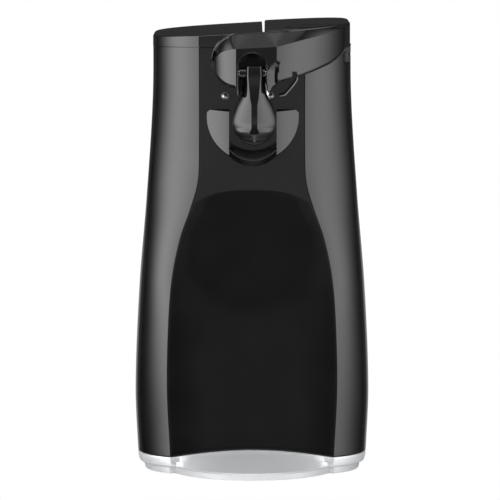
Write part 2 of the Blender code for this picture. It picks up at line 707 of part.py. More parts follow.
LAYERS = ((-18.3, -13.6), (-12.8, -8.8), (-8.0, -4.0))  # y of the three pairs of gears
GEARBOX_POSTS = ((-24.0, 206.0), (27.0, 206.0), (-27.0, 122.0), (27.0, 122.0))
SECOND = toward(DRIVE, (OUTPUT_TEETH + SECOND_PINION) / 2 + MESH_GAP, SECOND_DIRECTION)
FIRST = toward(SECOND, (SECOND_TEETH + FIRST_PINION) / 2 + MESH_GAP, FIRST_DIRECTION)
ROTOR = toward(FIRST, (FIRST_TEETH + ROTOR_PINION) / 2 + MESH_GAP, ROTOR_DIRECTION)


def compound_gear(name, place, big, big_y, big_direction, small, small_y, small_direction, bore):
    """Two gears moulded as one; the small one is joined to the big one's face."""
    wheel = prism(name, gear_outline(place, big, big_direction, True), *big_y, "nylon", "Y",
                  (place[0], big_y[0], place[1]))
    low, high = min(small_y[0], big_y[0] + 0.5), max(small_y[1], big_y[0] + 0.5)
    pinion = prism(name + "_pinion", gear_outline(place, small, small_direction, False), low, high)
    unite(wheel, pinion)
    cut(wheel, turned(name + "_bore", [(small_y[0] - 5, bore), (big_y[1] + 5, bore)], place, None, 14))
    return wheel


def drive_train():
    gear("drive_wheel", DRIVE, (-43.8, -40.2), 14, 90.0, False, 4.35, "steel")
    turned("drive_wheel_nut", [(-46.4, 3.8), (-44.7, 3.8)], DRIVE, "zinc_plate", 6, bore=2.3)
    profile = [(-46.0, 2.0), (-44.4, 2.0), (-44.4, 4.0), (-3.8, 4.0), (-3.8, 2.5), (-0.8, 2.5)]
    turned("drive_shaft", profile, DRIVE, "steel", 18)
    turned("drive_bushing", [(-39.6, 9.0), (-38.4, 9.0), (-38.4, 7.1), (-22.0, 7.1)], DRIVE, "bronze", 20, bore=4.35)
    gear("output_gear", DRIVE, LAYERS[0], OUTPUT_TEETH, SECOND_DIRECTION, True, 4.35)
    compound_gear("second_gear", SECOND, SECOND_TEETH, LAYERS[1], FIRST_DIRECTION, SECOND_PINION, LAYERS[0],
                  SECOND_DIRECTION + 180, 2.35)
    compound_gear("first_gear", FIRST, FIRST_TEETH, LAYERS[2], ROTOR_DIRECTION, FIRST_PINION, LAYERS[1],
                  FIRST_DIRECTION + 180, 2.35)
    gear("motor_pinion", ROTOR, LAYERS[2], ROTOR_PINION, ROTOR_DIRECTION + 180, False, 2.75, "steel")
    for name, place in (("second_gear_axle", SECOND), ("first_gear_axle", FIRST)):
        turned(name, [(PLATE_FRONT_Y - 0.4, 2.0), (PLATE_REAR_Y + PLATE_T + 0.4, 2.0)], place, "steel", 14)


def gearbox():
    outline = [(-30, 114), (31, 114), (31, 213), (-30, 213)]
    for name, y in (("gearbox_front_plate", PLATE_FRONT_Y), ("gearbox_rear_plate", PLATE_REAR_Y)):
        plate = prism(name, outline, y, y + PLATE_T, "zinc_plate")
        for label, place, radius in (("drive", DRIVE, 4.4), ("second", SECOND, 2.35), ("first", FIRST, 2.35),
                                     ("rotor", ROTOR, 6.5)):
            cut(plate, turned(f"{name}_{label}_hole", [(y - 4, radius), (y + 6, radius)], place, None, 14))
    for i, (x, z) in enumerate(GEARBOX_POSTS):
        turned(f"gearbox_post_{i + 1}", [(PLATE_FRONT_Y + PLATE_T + GAP, 3.2), (PLATE_REAR_Y - GAP, 3.2)], (x, z),
               "steel", 12)


def motor():
    x, z = ROTOR
    core = block("stator_core", (x - 22, x + 40), STATOR_Y, (z - 22, z + 22), "steel")
    cut(core, turned("rotor_space", [(5, ROTOR_R + 0.6), (40, ROTOR_R + 0.6)], ROTOR, None, 28))
    cut(core, block("coil_window", (x + 18.5, x + 27), (5, 40), (z - 13, z + 13)))
    coil = block("field_coil", (x + 19.2, x + 44.5), (6, 38), (z - 12.4, z + 12.4), "copper")
    cut(coil, block("coil_inside", (x + 26.6, x + 40.4), (11.6, 32.4), (z - 20, z + 20)))
    profile = [(-9.0, MOTOR_SHAFT_R), (11.9, MOTOR_SHAFT_R), (11.9, ROTOR_R), (32.1, ROTOR_R), (32.1, MOTOR_SHAFT_R),
               (47.0, MOTOR_SHAFT_R)]
    turned("rotor", profile, ROTOR, "steel", 24)
    for name, y in (("motor_bracket_front", (4.0, 8.0)), ("motor_bracket_rear", (36.0, 40.0))):
        left = block(name, (x - 21, x + 17), y, (z - 6, z + 6), "zinc_plate")
        cut(left, turned(name + "_hole", [(y[0] - 3, 5.0), (y[1] + 3, 5.0)], ROTOR, None, 16))
        turned(name.replace("bracket", "bush"), [(y[0] - 0.2, 4.7), (y[1] + 0.2, 4.7)], ROTOR, "bronze", 16, bore=2.7)
    for i, side in enumerate((-18.0, 14.6)):
        turned(f"motor_spacer_{i + 1}", [(8.3, 2.4), (11.7, 2.4)], (x + side, z), "steel", 10)
    fan = turned("cooling_fan", [(41.2, 6.0), (46.4, 6.0)], ROTOR, "nylon", 18, bore=2.7)
    for i in range(6):
        angle = math.pi * i / 3
        along, across = Vector((math.cos(angle), math.sin(angle))), Vector((-math.sin(angle), math.cos(angle)))
        corners = [along * r + across * s for r, s in ((4.6, -0.7), (18.0, -0.7), (18.0, 0.7), (4.6, 0.7))]
        unite(fan, prism(f"fan_blade_{i + 1}", [(x + c.x, z + c.y) for c in corners], 41.6, 46.0))


# ---------------------------------------------------------------- switch, sharpener, fasteners

def switch():
    x, y = PLUNGER
    body = block("power_switch", (x - 10, x + 10), (y - 5, y + 5), (201, 216), "black_matte")
    cut(body, turned("switch_well", [(209, 2.6), (230, 2.6)], PLUNGER, None, 14, axis="Z"))
    top = top_plane(x, y, -1.8) - 0.2
    profile = [(210.8, 2.2), (217.5, 2.2), (217.5, 3.0), (top - 0.6, 3.0), (top, 2.4)]
    turned("switch_plunger", profile, PLUNGER, "nylon", 14, axis="Z")


def sharpener():
    outline = [(48.5, -20.5), (49.2, -20.5), (52.2, -11.0), (52.2, -4.4), (48.5, -4.4)]
    guide = prism("sharpener_guide", outline, 217.4, 225.3, "black_matte", axis="Z")
    groove = [(50.2, 221.2), (60.0, 218.8), (60.0, 224.0), (50.2, 221.8)]
    cut(guide, prism("knife_groove", groove, -40.0, 10.0))
    cut(guide, block("stone_seat", (48.0, 50.9), (-14.3, -9.7), (219.3, 223.7)))
    block("sharpening_stone", (48.9, 50.6), (-14.0, -10.0), (219.6, 223.4), "stone")


def fasteners():
    for i, (x, z) in enumerate(REAR_SCREWS):
        seat = rear_surface(x, z) - SCREW_DEPTH + 0.1
        profile = [(seat - 14.0, 1.8), (seat, 1.8), (seat, 3.4), (seat + 0.8, 3.0)]
        turned(f"housing_screw_{i + 1}", profile, (x, z), "zinc_plate", 12)
    inside = rear_surface(*CORD_INLET) - WALL - 2 * GAP
    profile = [(inside - 1.8, 8.0), (inside, 8.6), (inside, 6.6), (58.4, 6.6), (58.4, 5.4)]
    turned("cord_grommet", profile, CORD_INLET, "rubber", 20, bore=3.6)


def build():
    clear_scene()
    front_housing()
    rear_housing()
    top_cap()
    base_shell()
    base_plate()
    for index in range(len(FEET)):
        rubber_foot(index)
    piercing_lever()
    magnet_arm()
    lever_parts()
    can_guide_plate()
    drive_train()
    gearbox()
    motor()
    switch()
    sharpener()
    fasteners()


build()
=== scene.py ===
"""Looks of the electric can opener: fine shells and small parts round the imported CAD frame.

Sizes are millimetres in the helpers and are turned into metres when a mesh is made.
The front faces -Y, +Z is up, and the origin is on the table under the middle of the body.
"""
import json
import math

import bmesh
import bpy
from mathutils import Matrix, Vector

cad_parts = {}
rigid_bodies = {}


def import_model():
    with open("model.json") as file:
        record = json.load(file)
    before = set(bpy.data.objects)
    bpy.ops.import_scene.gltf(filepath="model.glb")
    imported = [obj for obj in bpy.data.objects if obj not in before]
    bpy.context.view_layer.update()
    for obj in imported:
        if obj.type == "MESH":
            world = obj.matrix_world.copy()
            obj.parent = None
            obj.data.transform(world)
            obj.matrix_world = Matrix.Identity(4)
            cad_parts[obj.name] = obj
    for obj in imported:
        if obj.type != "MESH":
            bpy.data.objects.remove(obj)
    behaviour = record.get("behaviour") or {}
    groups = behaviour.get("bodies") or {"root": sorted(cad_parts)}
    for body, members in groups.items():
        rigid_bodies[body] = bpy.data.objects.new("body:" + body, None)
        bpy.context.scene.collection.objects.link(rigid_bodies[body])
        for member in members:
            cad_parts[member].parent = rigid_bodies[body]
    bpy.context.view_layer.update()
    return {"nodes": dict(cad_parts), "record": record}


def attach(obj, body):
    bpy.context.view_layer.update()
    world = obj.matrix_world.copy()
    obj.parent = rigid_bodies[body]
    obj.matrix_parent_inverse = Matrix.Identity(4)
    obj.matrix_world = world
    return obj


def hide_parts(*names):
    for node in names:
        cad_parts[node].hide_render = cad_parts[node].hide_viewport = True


MM = 0.001
GAP = 0.3
WALL = 2.4

# Body shell, the same curves as the CAD model
BASE_SEAM, BASE_SEAM_ARCH, CAP_SEAM = 10.25, 2.4, 225.6
TOP_HEIGHT, TOP_RISE_X, TOP_RISE_Y = 235.1, 0.056, 0.045
PANEL_Y, WIDE_Y, SPLIT_Y = -38.0, -8.0, 14.0
COLUMN_SLOPE = math.tan(math.radians(25.0))
REAR_ROUNDING = 0.72
HALF_WIDTH = ((0, 60.3), (12, 61.1), (45, 62.3), (99, 60.0), (147, 56.0), (200, 52.6), (245, 52.4))
CREASE_X = ((0, 42.4), (45, 44.2), (80, 43.5), (105, 41.5), (126, 37.2), (141, 32.0), (155, 28.0),
            (170, 27.2), (245, 27.2))
BACK_Y = ((0, 58.4), (120, 56.0), (245, 49.0))
SCOOP_TOP, SCOOP_DROP, SCOOP_HALF, SCOOP_LENGTH, SCOOP_DEPTH = 151.0, 6.0, 28.0, 85.0, 9.5
TONGUE_Y, TONGUE_R, TONGUE_HALF = -58.0, 42.0, 41.0

# Raised can rest round the drive wheel
BOSS_X, BOSS_Z, BOSS_R, BOSS_CHORD = 0.4, 189.5, 24.0, 193.5
CHANNEL_HALF = 12.35
LEDGE_Y, LEDGE_R, LEDGE_BOTTOM, LEDGE_LIFT = -45.4, 16.8, 163.5, 3.6
GROOVE_R, GROOVE_LIP = 18.0, 168.4

# Lever and mechanism
PIVOT, LEVER_END_R, LEVER_PROUD = (-9.0, 219.0), 12.0, 0.7
LEVER_PLATE, LEVER_INSET, SLOT_X = 2.0, 0.7, (5.5, 6.9)
LEVER_FRONT, LEVER_CREASE_X, SKIRT_BOTTOM, SKIRT_LEFT = -58.0, 12.5, 227.1, 18.5
ARM_X, ARM_HINGE, CUTTER, CUTTER_R = 1.2, (-53.0, 213.0), (2.0, 204.2), 7.1
DRIVE = (1.2, 191.0)
GUIDE_PINS = {"guide_pin_left": (-14.2, 200.2), "guide_pin_right": (9.4, 200.4)}
REAR_SCREWS = ((-26.0, 30.0), (26.0, 30.0), (-24.0, 200.0), (24.0, 200.0))
SCREW_DEPTH, CORD_INLET = 1.5, (0.0, 26.0)
FEET = ((-36.0, -20.0), (36.0, -20.0), (-34.0, 40.0), (34.0, 40.0))
LEVER_UNDERSIDE = ((-9.0, 204.9), (-8.2, 203.4), (-7.6, 201.2), (6.4, 201.2), (7.2, 202.8), (9.4, 202.8),
                   (10.4, 205.0), (14.8, 208.6), (25.7, 211.2), (33.1, 213.8), (40.5, 217.0), (46.3, 221.0),
                   (50.0, 225.0), (52.0, 227.0))
FLANGE_Y = -44.4  # front of the thin flange round the lever's left end
LEVER_LEAN, LEVER_LOW_Z = 0.06, 203.0  # the front leans back this much per millimetre above this height
LEVER_ROUND_X, LEVER_RIGHT_X = -8.3, 52.0  # where the rounded left end starts, and the right end
LEVER_SHOULDER = ((-21.0, 5.0), (-8.8, 7.6), (12.5, 7.8), (27.4, 5.3), (39.9, 3.7), (48.0, 1.8), (52.0, 1.0))
LEVER_CREASE = ((213.0, 7.4), (215.0, 8.2), (219.2, 12.5))  # height and x of the front's right crease


# ---------------------------------------------------------------- mesh helpers

def spread(low, high, count):
    """count + 1 evenly spaced values from low to high."""
    return [low + (high - low) * i / count for i in range(count + 1)]


def loft(loops, cyclic=False, caps=True):
    """Join equal loops of points with quads; cyclic closes the last loop onto the first."""
    bm = bmesh.new()
    rings = [[bm.verts.new(p) for p in loop] for loop in loops]
    count = len(rings[0])
    pairs = list(zip(rings, rings[1:])) + ([(rings[-1], rings[0])] if cyclic else [])
    for low, high in pairs:
        for i in range(count):
            j = (i + 1) % count
            bm.faces.new((low[i], low[j], high[j], high[i]))
    if caps and not cyclic:
        bm.faces.new(rings[0])
        bm.faces.new(rings[-1])
    return bm


def band_loft(levels):
    """Loft an open band; each level is (outer points, inner points)."""
    bm = loft([outer + inner[::-1] for outer, inner in levels], caps=False)
    bm.verts.ensure_lookup_table()
    count = len(levels[0][0])
    for level in (0, len(levels) - 1):
        first = level * 2 * count
        for i in range(count - 1):
            corners = (i, i + 1, 2 * count - 2 - i, 2 * count - 1 - i)
            bm.faces.new([bm.verts[first + c] for c in corners])
    return bm


def make_object(name, bm):
    """An object from a bmesh in millimetres."""
    bmesh.ops.remove_doubles(bm, verts=bm.verts, dist=0.001)
    bmesh.ops.recalc_face_normals(bm, faces=bm.faces)
    bmesh.ops.scale(bm, vec=(MM, MM, MM), verts=bm.verts)
    mesh = bpy.data.meshes.new(name)
    bm.to_mesh(mesh)
    bm.free()
    obj = bpy.data.objects.new(name, mesh)
    bpy.context.scene.collection.objects.link(obj)
    return obj


PLACES = {
    "Y": lambda a, b, t: (a, t, b),
    "Z": lambda a, b, t: (a, b, t),
    "X": lambda a, b, t: (t, a, b),
}


def prism(name, levels, axis="Y"):
    """Loft flat outlines; each level is (position along the axis, outline)."""
    place = PLACES[axis]
    return make_object(name, loft([[place(a, b, t) for a, b in outline] for t, outline in levels]))


def straight(name, outline, low, high, axis="Y"):
    return prism(name, [(low, outline), (high, outline)], axis)


def block(name, x, y, z):
    return straight(name, [(x[0], y[0]), (x[1], y[0]), (x[1], y[1]), (x[0], y[1])], z[0], z[1], "Z")


def circle(cx, cz, radius, segments=48, start=0.0):
    turn = 2 * math.pi / segments
    return [(cx + radius * math.cos(start + turn * i), cz + radius * math.sin(start + turn * i))
            for i in range(segments)]


def turned(name, profile, centre, segments=48, axis="Y", bore=0.0):
    """Spin (position, radius) pairs about an axis through centre; bore leaves a hole."""
    place = PLACES[axis]
    pairs = list(profile)
    if bore:
        pairs += [(profile[-1][0], bore), (profile[0][0], bore)]
    loops = [[place(a, b, t) for a, b in circle(*centre, r, segments)] for t, r in pairs]
    return make_object(name, loft(loops, cyclic=bool(bore)))


def combine(target, operation, *others):
    """Apply Booleans with the other objects, and remove them."""
    for other in others:
        mod = target.modifiers.new("combine", "BOOLEAN")
        mod.operation = operation
        mod.solver = "EXACT"
        mod.object = other
    bpy.context.view_layer.update()
    result = bpy.data.meshes.new_from_object(target.evaluated_get(bpy.context.evaluated_depsgraph_get()))
    target.modifiers.clear()
    old = target.data
    target.data = result
    bpy.data.meshes.remove(old)
    for other in others:
        mesh = other.data
        bpy.data.objects.remove(other)
        bpy.data.meshes.remove(mesh)
    return target


def cut(target, *cutters):
    return combine(target, "DIFFERENCE", *cutters)


def unite(target, *others):
    return combine(target, "UNION", *others)


def finish_piece(obj, finish, body, nodes=(), sharp=30.0, bevel=0.0):
    """Smooth the piece, give it its finish and let it ride on its body in place of CAD nodes."""
    mesh = obj.data
    mesh.materials.clear()
    mesh.materials.append(MATERIALS[finish])
    for polygon in mesh.polygons:
        polygon.material_index = 0
    mesh.shade_smooth()
    mesh.set_sharp_from_angle(angle=math.radians(sharp))
    if bevel:
        mod = obj.modifiers.new("edge", "BEVEL")
        mod.width = bevel * MM
        mod.segments = 2
        mod.limit_method = "ANGLE"
        mod.angle_limit = math.radians(sharp)
        mod.harden_normals = True
    weighted = obj.modifiers.new("normals", "WEIGHTED_NORMAL")
    weighted.keep_sharp = True
    weighted.weight = 50
    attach(obj, body)
    if nodes:
        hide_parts(*nodes)
    return obj


# ---------------------------------------------------------------- materials

def noise(tree, coords, scale, detail, stretch=None):
    """Noise in object space; stretch scales each axis, for brushed metal."""
    if stretch:
        mapping = tree.nodes.new("ShaderNodeMapping")
        mapping.inputs["Scale"].default_value = stretch
        tree.links.new(coords, mapping.inputs["Vector"])
        coords = mapping.outputs["Vector"]
    node = tree.nodes.new("ShaderNodeTexNoise")
    node.inputs["Scale"].default_value = scale
    node.inputs["Detail"].default_value = detail
    tree.links.new(coords, node.inputs["Vector"])
    return node.outputs["Fac"]


def ranged(tree, value, low, high):
    node = tree.nodes.new("ShaderNodeMapRange")
    node.inputs["From Min"].default_value = 0.3
    node.inputs["From Max"].default_value = 0.7
    node.inputs["To Min"].default_value = low
    node.inputs["To Max"].default_value = high
    tree.links.new(value, node.inputs["Value"])
    return node.outputs["Result"]


def make_material(name, dark, light, rough, metallic=0.0,
                  colour_scale=60.0, rough_scale=90.0, bump_scale=900.0,
                  bump=0.0, stretch=None, coat=0.0, coat_rough=0.1, specular=0.5):
    """A moulded, brushed or cast finish: colour between dark and light, uneven roughness and a fine bump."""
    mat = bpy.data.materials.new(name)
    mat.use_nodes = True
    tree = mat.node_tree
    bsdf = tree.nodes["Principled BSDF"]
    bsdf.inputs["Metallic"].default_value = metallic
    bsdf.inputs["Coat Weight"].default_value = coat
    bsdf.inputs["Coat Roughness"].default_value = coat_rough
    bsdf.inputs["Specular IOR Level"].default_value = specular
    coords = tree.nodes.new("ShaderNodeTexCoord").outputs["Object"]
    mix = tree.nodes.new("ShaderNodeMix")
    mix.data_type = "RGBA"
    mix.inputs["A"].default_value = (*dark, 1.0)
    mix.inputs["B"].default_value = (*light, 1.0)
    colour_noise = noise(tree, coords, colour_scale, 4.0, stretch)
    tree.links.new(ranged(tree, colour_noise, 0.0, 1.0), mix.inputs["Factor"])
    tree.links.new(mix.outputs["Result"], bsdf.inputs["Base Color"])
    rough_noise = noise(tree, coords, rough_scale, 5.0, stretch)
    tree.links.new(ranged(tree, rough_noise, *rough), bsdf.inputs["Roughness"])
    if bump:
        node = tree.nodes.new("ShaderNodeBump")
        node.inputs["Strength"].default_value = bump
        node.inputs["Distance"].default_value = 0.0002
        tree.links.new(noise(tree, coords, bump_scale, 3.0, stretch), node.inputs["Height"])
        tree.links.new(node.outputs["Normal"], bsdf.inputs["Normal"])
    return mat


BRUSHED = (1.0, 1.0, 14.0)
MATERIALS = {
    "black_gloss": make_material("black_gloss", (0.0045, 0.0045, 0.0048), (0.0064, 0.0064, 0.007),
                                 (0.075, 0.115),
                                 rough_scale=28.0, bump_scale=260.0, bump=0.012),
    "silver_plastic": make_material("silver_plastic", (0.56, 0.57, 0.585), (0.66, 0.665, 0.68),
                                    (0.28, 0.36), 0.35,
                                    colour_scale=2600.0, rough_scale=40.0, bump_scale=3000.0,
                                    bump=0.05, coat=0.3),
    "black_matte": make_material("black_matte", (0.018, 0.018, 0.019), (0.03, 0.03, 0.031), (0.5, 0.68),
                                 bump_scale=2200.0, bump=0.25),
    "steel": make_material("steel", (0.55, 0.555, 0.565), (0.74, 0.745, 0.75), (0.16, 0.32), 1.0,
                           colour_scale=500.0, rough_scale=700.0, bump_scale=1500.0,
                           bump=0.06, stretch=BRUSHED),
    "zinc_plate": make_material("zinc_plate", (0.46, 0.47, 0.48), (0.62, 0.63, 0.65), (0.3, 0.5), 1.0,
                                colour_scale=180.0, rough_scale=220.0, bump_scale=1200.0, bump=0.08),
    "nylon": make_material("nylon", (0.78, 0.76, 0.69), (0.86, 0.84, 0.78), (0.42, 0.52),
                           bump_scale=1400.0, bump=0.06),
    "copper": make_material("copper", (0.52, 0.2, 0.08), (0.75, 0.36, 0.16), (0.25, 0.4), 1.0,
                            colour_scale=900.0,
                            bump_scale=1600.0, bump=0.3, stretch=(1.0, 18.0, 1.0)),
    "rubber": make_material("rubber", (0.014, 0.014, 0.014), (0.024, 0.024, 0.024), (0.75, 0.92),
                            bump_scale=2600.0,
                            bump=0.3),
    "bronze": make_material("bronze", (0.38, 0.24, 0.1), (0.58, 0.4, 0.2), (0.28, 0.44), 1.0,
                            bump_scale=1800.0,
                            bump=0.1),
    "magnet": make_material("magnet", (0.07, 0.07, 0.075), (0.13, 0.13, 0.135), (0.38, 0.5), 0.6,
                            bump_scale=1800.0,
                            bump=0.15),
    "stone": make_material("stone", (0.4, 0.39, 0.36), (0.62, 0.61, 0.57), (0.75, 0.9), colour_scale=1800.0,
                           bump_scale=2600.0, bump=0.6),
}


# ---------------------------------------------------------------- body outline

def smooth_curve(stations, t):
    """Cubic through a few stations, with level ends."""
    if t <= stations[0][0]:
        return stations[0][1]
    if t >= stations[-1][0]:
        return stations[-1][1]
    k = max(i for i, s in enumerate(stations) if s[0] <= t)
    (t0, v0), (t1, v1) = stations[k], stations[k + 1]

    def tangent(i):
        if i in (0, len(stations) - 1):
            return 0.0
        (ta, va), (tb, vb) = stations[i - 1], stations[i + 1]
        return (vb - va) / (tb - ta)

    span = t1 - t0
    s = (t - t0) / span
    return ((2 * s ** 3 - 3 * s ** 2 + 1) * v0 + (s ** 3 - 2 * s ** 2 + s) * span * tangent(k)
            + (3 * s ** 2 - 2 * s ** 3) * v1 + (s ** 3 - s ** 2) * span * tangent(k + 1))


def top_plane(x, y, offset=0.0):
    return TOP_HEIGHT + TOP_RISE_X * x + TOP_RISE_Y * y + offset


def scoop_depth(x, z, crease):
    """How far the front is hollowed at this place."""
    edge = SCOOP_TOP - SCOOP_DROP * min(1.0, abs(x) / SCOOP_HALF) ** 3
    below = (edge - z) / SCOOP_LENGTH
    if below <= 0:
        return 0.0
    fall = 1 - (1 - min(below, 1.0)) ** 2
    across = 1 - min(1.0, abs(x) / crease) ** 1.7
    return SCOOP_DEPTH * fall * across


CREASE_ROUND = 0.7
PANEL_STEPS, CREASE_STEPS, COLUMN_STEPS, REAR_STEPS = 18, 4, 18, 18


def half_outline(z):
    """Right half of the body outline at height z, from the front centre to the back centre."""
    crease, wide, back = smooth_curve(CREASE_X, z), smooth_curve(HALF_WIDTH, z), smooth_curve(BACK_Y, z)
    corner_y = PANEL_Y + (wide - crease) * COLUMN_SLOPE

    def column(t):
        a, b, c = (1 - t) ** 2, 2 * t * (1 - t), t * t
        return a * crease + (b + c) * wide, a * PANEL_Y + b * corner_y + c * WIDE_Y

    flat = [(x, PANEL_Y + scoop_depth(x, z, crease)) for x in spread(0.0, crease - CREASE_ROUND, PANEL_STEPS)]
    start = 0.5 * CREASE_ROUND / (wide - crease)
    (x0, y0), (x2, y2) = flat[-1], column(start)
    points = flat[:-1]
    for s in spread(0.0, 1.0, CREASE_STEPS)[:-1]:
        a, b, c = (1 - s) ** 2, 2 * s * (1 - s), s * s
        points.append((a * x0 + b * crease + c * x2, a * y0 + b * PANEL_Y + c * y2))
    points += [column(t) for t in spread(start, 1.0, COLUMN_STEPS)]
    for t in spread(0.0, 0.5 * math.pi, REAR_STEPS):
        x = wide * max(0.0, math.cos(t)) ** REAR_ROUNDING
        points.append((x if t < 1.57 else 0.0, SPLIT_Y + (back - SPLIT_Y) * math.sin(t) ** REAR_ROUNDING))
    return points


def full_outline(z):
    half = half_outline(z)
    return half + [(-x, y) for x, y in half[1:-1]][::-1]


def offset_loop(points, distance, closed=True):
    """Move an anticlockwise outline inwards by a distance."""
    if not distance:
        return list(points)
    moved = []
    count = len(points)
    for i, (x, y) in enumerate(points):
        before = points[i - 1] if closed or i else points[0]
        after = points[(i + 1) % count] if closed or i < count - 1 else points[-1]
        d1 = Vector((x - before[0], y - before[1]))
        d2 = Vector((after[0] - x, after[1] - y))
        d1 = d1.normalized() if d1.length > 1e-6 else d2.normalized()
        d2 = d2.normalized() if d2.length > 1e-6 else d1
        n1, n2 = Vector((-d1.y, d1.x)), Vector((-d2.y, d2.x))
        normal = (n1 + n2).normalized()
        stretch = distance / max(0.6, normal.dot(n1))
        moved.append((x + normal.x * stretch, y + normal.y * stretch))
    return moved


def clip_x(points, low, high):
    """Keep the part of a convex outline between two x values."""
    for limit, sign in ((low, 1), (high, -1)):
        kept = []
        for (x0, y0), (x1, y1) in zip(points, points[1:] + points[:1]):
            inside0, inside1 = sign * (x0 - limit) >= 0, sign * (x1 - limit) >= 0
            if inside0:
                kept.append((x0, y0))
            if inside0 != inside1:
                t = (limit - x0) / (x1 - x0)
                kept.append((limit, y0 + t * (y1 - y0)))
        points = kept
    return points


def slab(name, levels, x_low=-90.0, x_high=90.0):
    """Solid inside the top outline; each level is (inset, height or offset from the top plane)."""
    outline = clip_x(full_outline(240.0), x_low, x_high)
    loops = []
    for inset, limit in levels:
        ring = offset_loop(outline, inset)
        loops.append([(x, y, limit if limit > 100 else top_plane(x, y, limit)) for x, y in ring])
    return make_object(name, loft(loops))


# ---------------------------------------------------------------- housings

def seam_arch(x):
    """How much the base joint rises at this x of the front."""
    return BASE_SEAM_ARCH * max(0.0, 1 - (x / TONGUE_HALF) ** 2)


def lift_front(z, x):
    """Raise the lowest rows of the front so that they follow the arched base joint."""
    return z + seam_arch(x) * max(0.0, 1 - (z - BASE_SEAM) / 30.0)


def housing_levels():
    """(height, inset) of each row of the housing, with a small round at both joints."""
    low, high = BASE_SEAM + 0.15, CAP_SEAM - 0.06
    rows = [(low, 0.45), (low + 0.15, 0.15), (low + 0.5, 0.0)]
    heights = spread(13.0, 140.0, 66) + spread(141.0, 153.0, 48) + spread(155.0, 222.0, 34)
    rows += [(z, 0.0) for z in heights]
    return rows + [(high - 0.2, 0.0), (high - 0.06, 0.03), (high, 0.12)]


def housing_shell(name, rear):
    levels = []
    for z, inset in housing_levels():
        half = half_outline(z)
        split = len(half) - REAR_STEPS - 1
        side = half[split:] if rear else half[:split + 1]
        mirrored = [(-x, y) for x, y in side if x > 0]
        outer = side + mirrored[::-1] if rear else mirrored[::-1] + side
        edge = SPLIT_Y + (GAP / 2 if rear else -GAP / 2)
        outer[0], outer[-1] = (outer[0][0], edge), (outer[-1][0], edge)
        inner = offset_loop(outer, WALL, closed=False)
        outer = offset_loop(outer, inset, closed=False)
        rows = [[(x, y, z if rear else lift_front(z, x)) for x, y in loop] for loop in (outer, inner)]
        levels.append(rows)
    return make_object(name, band_loft(levels))


def boss_outline(grow, arc=72):
    """D-shaped outline of the can rest with small round corners at its straight top."""
    radius, chord = BOSS_R + grow, BOSS_CHORD + grow
    rise = chord - BOSS_Z
    end = math.asin(rise / radius)
    points = []
    for t in spread(math.pi - end + 0.05, 2 * math.pi + end - 0.05, arc):
        points.append((BOSS_X + radius * math.cos(t), BOSS_Z + radius * math.sin(t)))
    corner = math.sqrt(radius ** 2 - rise ** 2) - 1.0
    (x0, z0), (x1, z1) = points[-1], points[0]
    for s in (0.35, 0.7):
        points.append(((1 - s) * x0 + s * (BOSS_X + corner), (1 - s ** 2) * z0 + s ** 2 * chord))
    points += [(BOSS_X + corner, chord), (BOSS_X - corner, chord)]
    for s in (0.7, 0.35):
        points.append(((1 - s) * x1 + s * (BOSS_X - corner), (1 - s ** 2) * z1 + s ** 2 * chord))
    return points


def lobe_y(distance):
    """Front of the can rest at this distance from its middle; it slopes back to the panel."""
    reach = BOSS_R + 0.4 - CHANNEL_HALF
    u = (BOSS_R + 0.4 - distance) / reach
    return PANEL_Y - 0.2 - reach * (0.70 * u - 0.11 * u * u)


def ledge_outline(lift, steps=48):
    """Outline of the ledge under the channel: round below, straight sides up into the lobes."""
    half = CHANNEL_HALF + 0.25
    points = []
    for x in spread(-half, half, steps):
        points.append((BOSS_X + x, LEDGE_BOTTOM + LEDGE_R + lift - math.sqrt(LEDGE_R ** 2 - x * x)))
    return points + [(BOSS_X + half, 181.0), (BOSS_X - half, 181.0)]


def add_can_rest(housing):
    levels = ((-47.0, -1.2), (PANEL_Y + 0.5, 0.08), (PANEL_Y + 1.4, 0.08))
    lobes = prism("can_rest_lobes", [(y, boss_outline(grow)) for y, grow in levels])
    distances = spread(34.0, 24.4, 2) + spread(24.0, 12.0, 24)
    faces = [(d, lobe_y(abs(d))) for d in distances + [-d for d in reversed(distances)]]
    ahead = [(BOSS_X + x, y) for x, y in [(-34.0, -60.0), (34.0, -60.0)] + faces]
    sides = (BOSS_X - CHANNEL_HALF, BOSS_X + CHANNEL_HALF)
    cut(lobes, straight("lobe_faces", ahead, 150.0, 215.0, "Z"),
        block("can_channel", sides, (-60.0, -30.0), (150.0, 215.0)))
    levels = ((LEDGE_Y, LEDGE_LIFT + 0.35), (LEDGE_Y + 0.12, LEDGE_LIFT + 0.1),
              (LEDGE_Y + 0.4, LEDGE_LIFT - 0.2),
              (PANEL_Y + 0.5, 0.0), (PANEL_Y + 1.4, 0.0))
    ledge = prism("can_ledge", [(y, ledge_outline(lift)) for y, lift in levels])
    loops = []
    for y, rise in ((LEDGE_Y - 3.4, -6.9), (LEDGE_Y, 0.0), (LEDGE_Y + 1.7, 3.45), (-30.0, 3.9)):
        loops.append([(x, y, z) for x, z in circle(BOSS_X, GROOVE_R + GROOVE_LIP + rise, GROOVE_R, 128)])
    cut(ledge, make_object("ledge_groove", loft(loops)))
    unite(housing, lobes, ledge)


def rear_surface(x, z):
    """The y of the rear housing's outside at this x and z."""
    back, wide = smooth_curve(BACK_Y, z), smooth_curve(HALF_WIDTH, z)
    power = REAR_ROUNDING / 2
    return SPLIT_Y + (back - SPLIT_Y) * (1 - (abs(x) / wide) ** (1 / power)) ** power


def flared(name, low, high, radius, centre, flare, depth):
    """A round cutter from low to high that opens by flare over the first bit of its depth from low."""
    profile = [(low, radius + flare), (depth - 0.05, radius + flare), (depth + 0.15, radius + 0.35 * flare),
               (depth + flare, radius), (high, radius)]
    return turned(name, profile, centre)


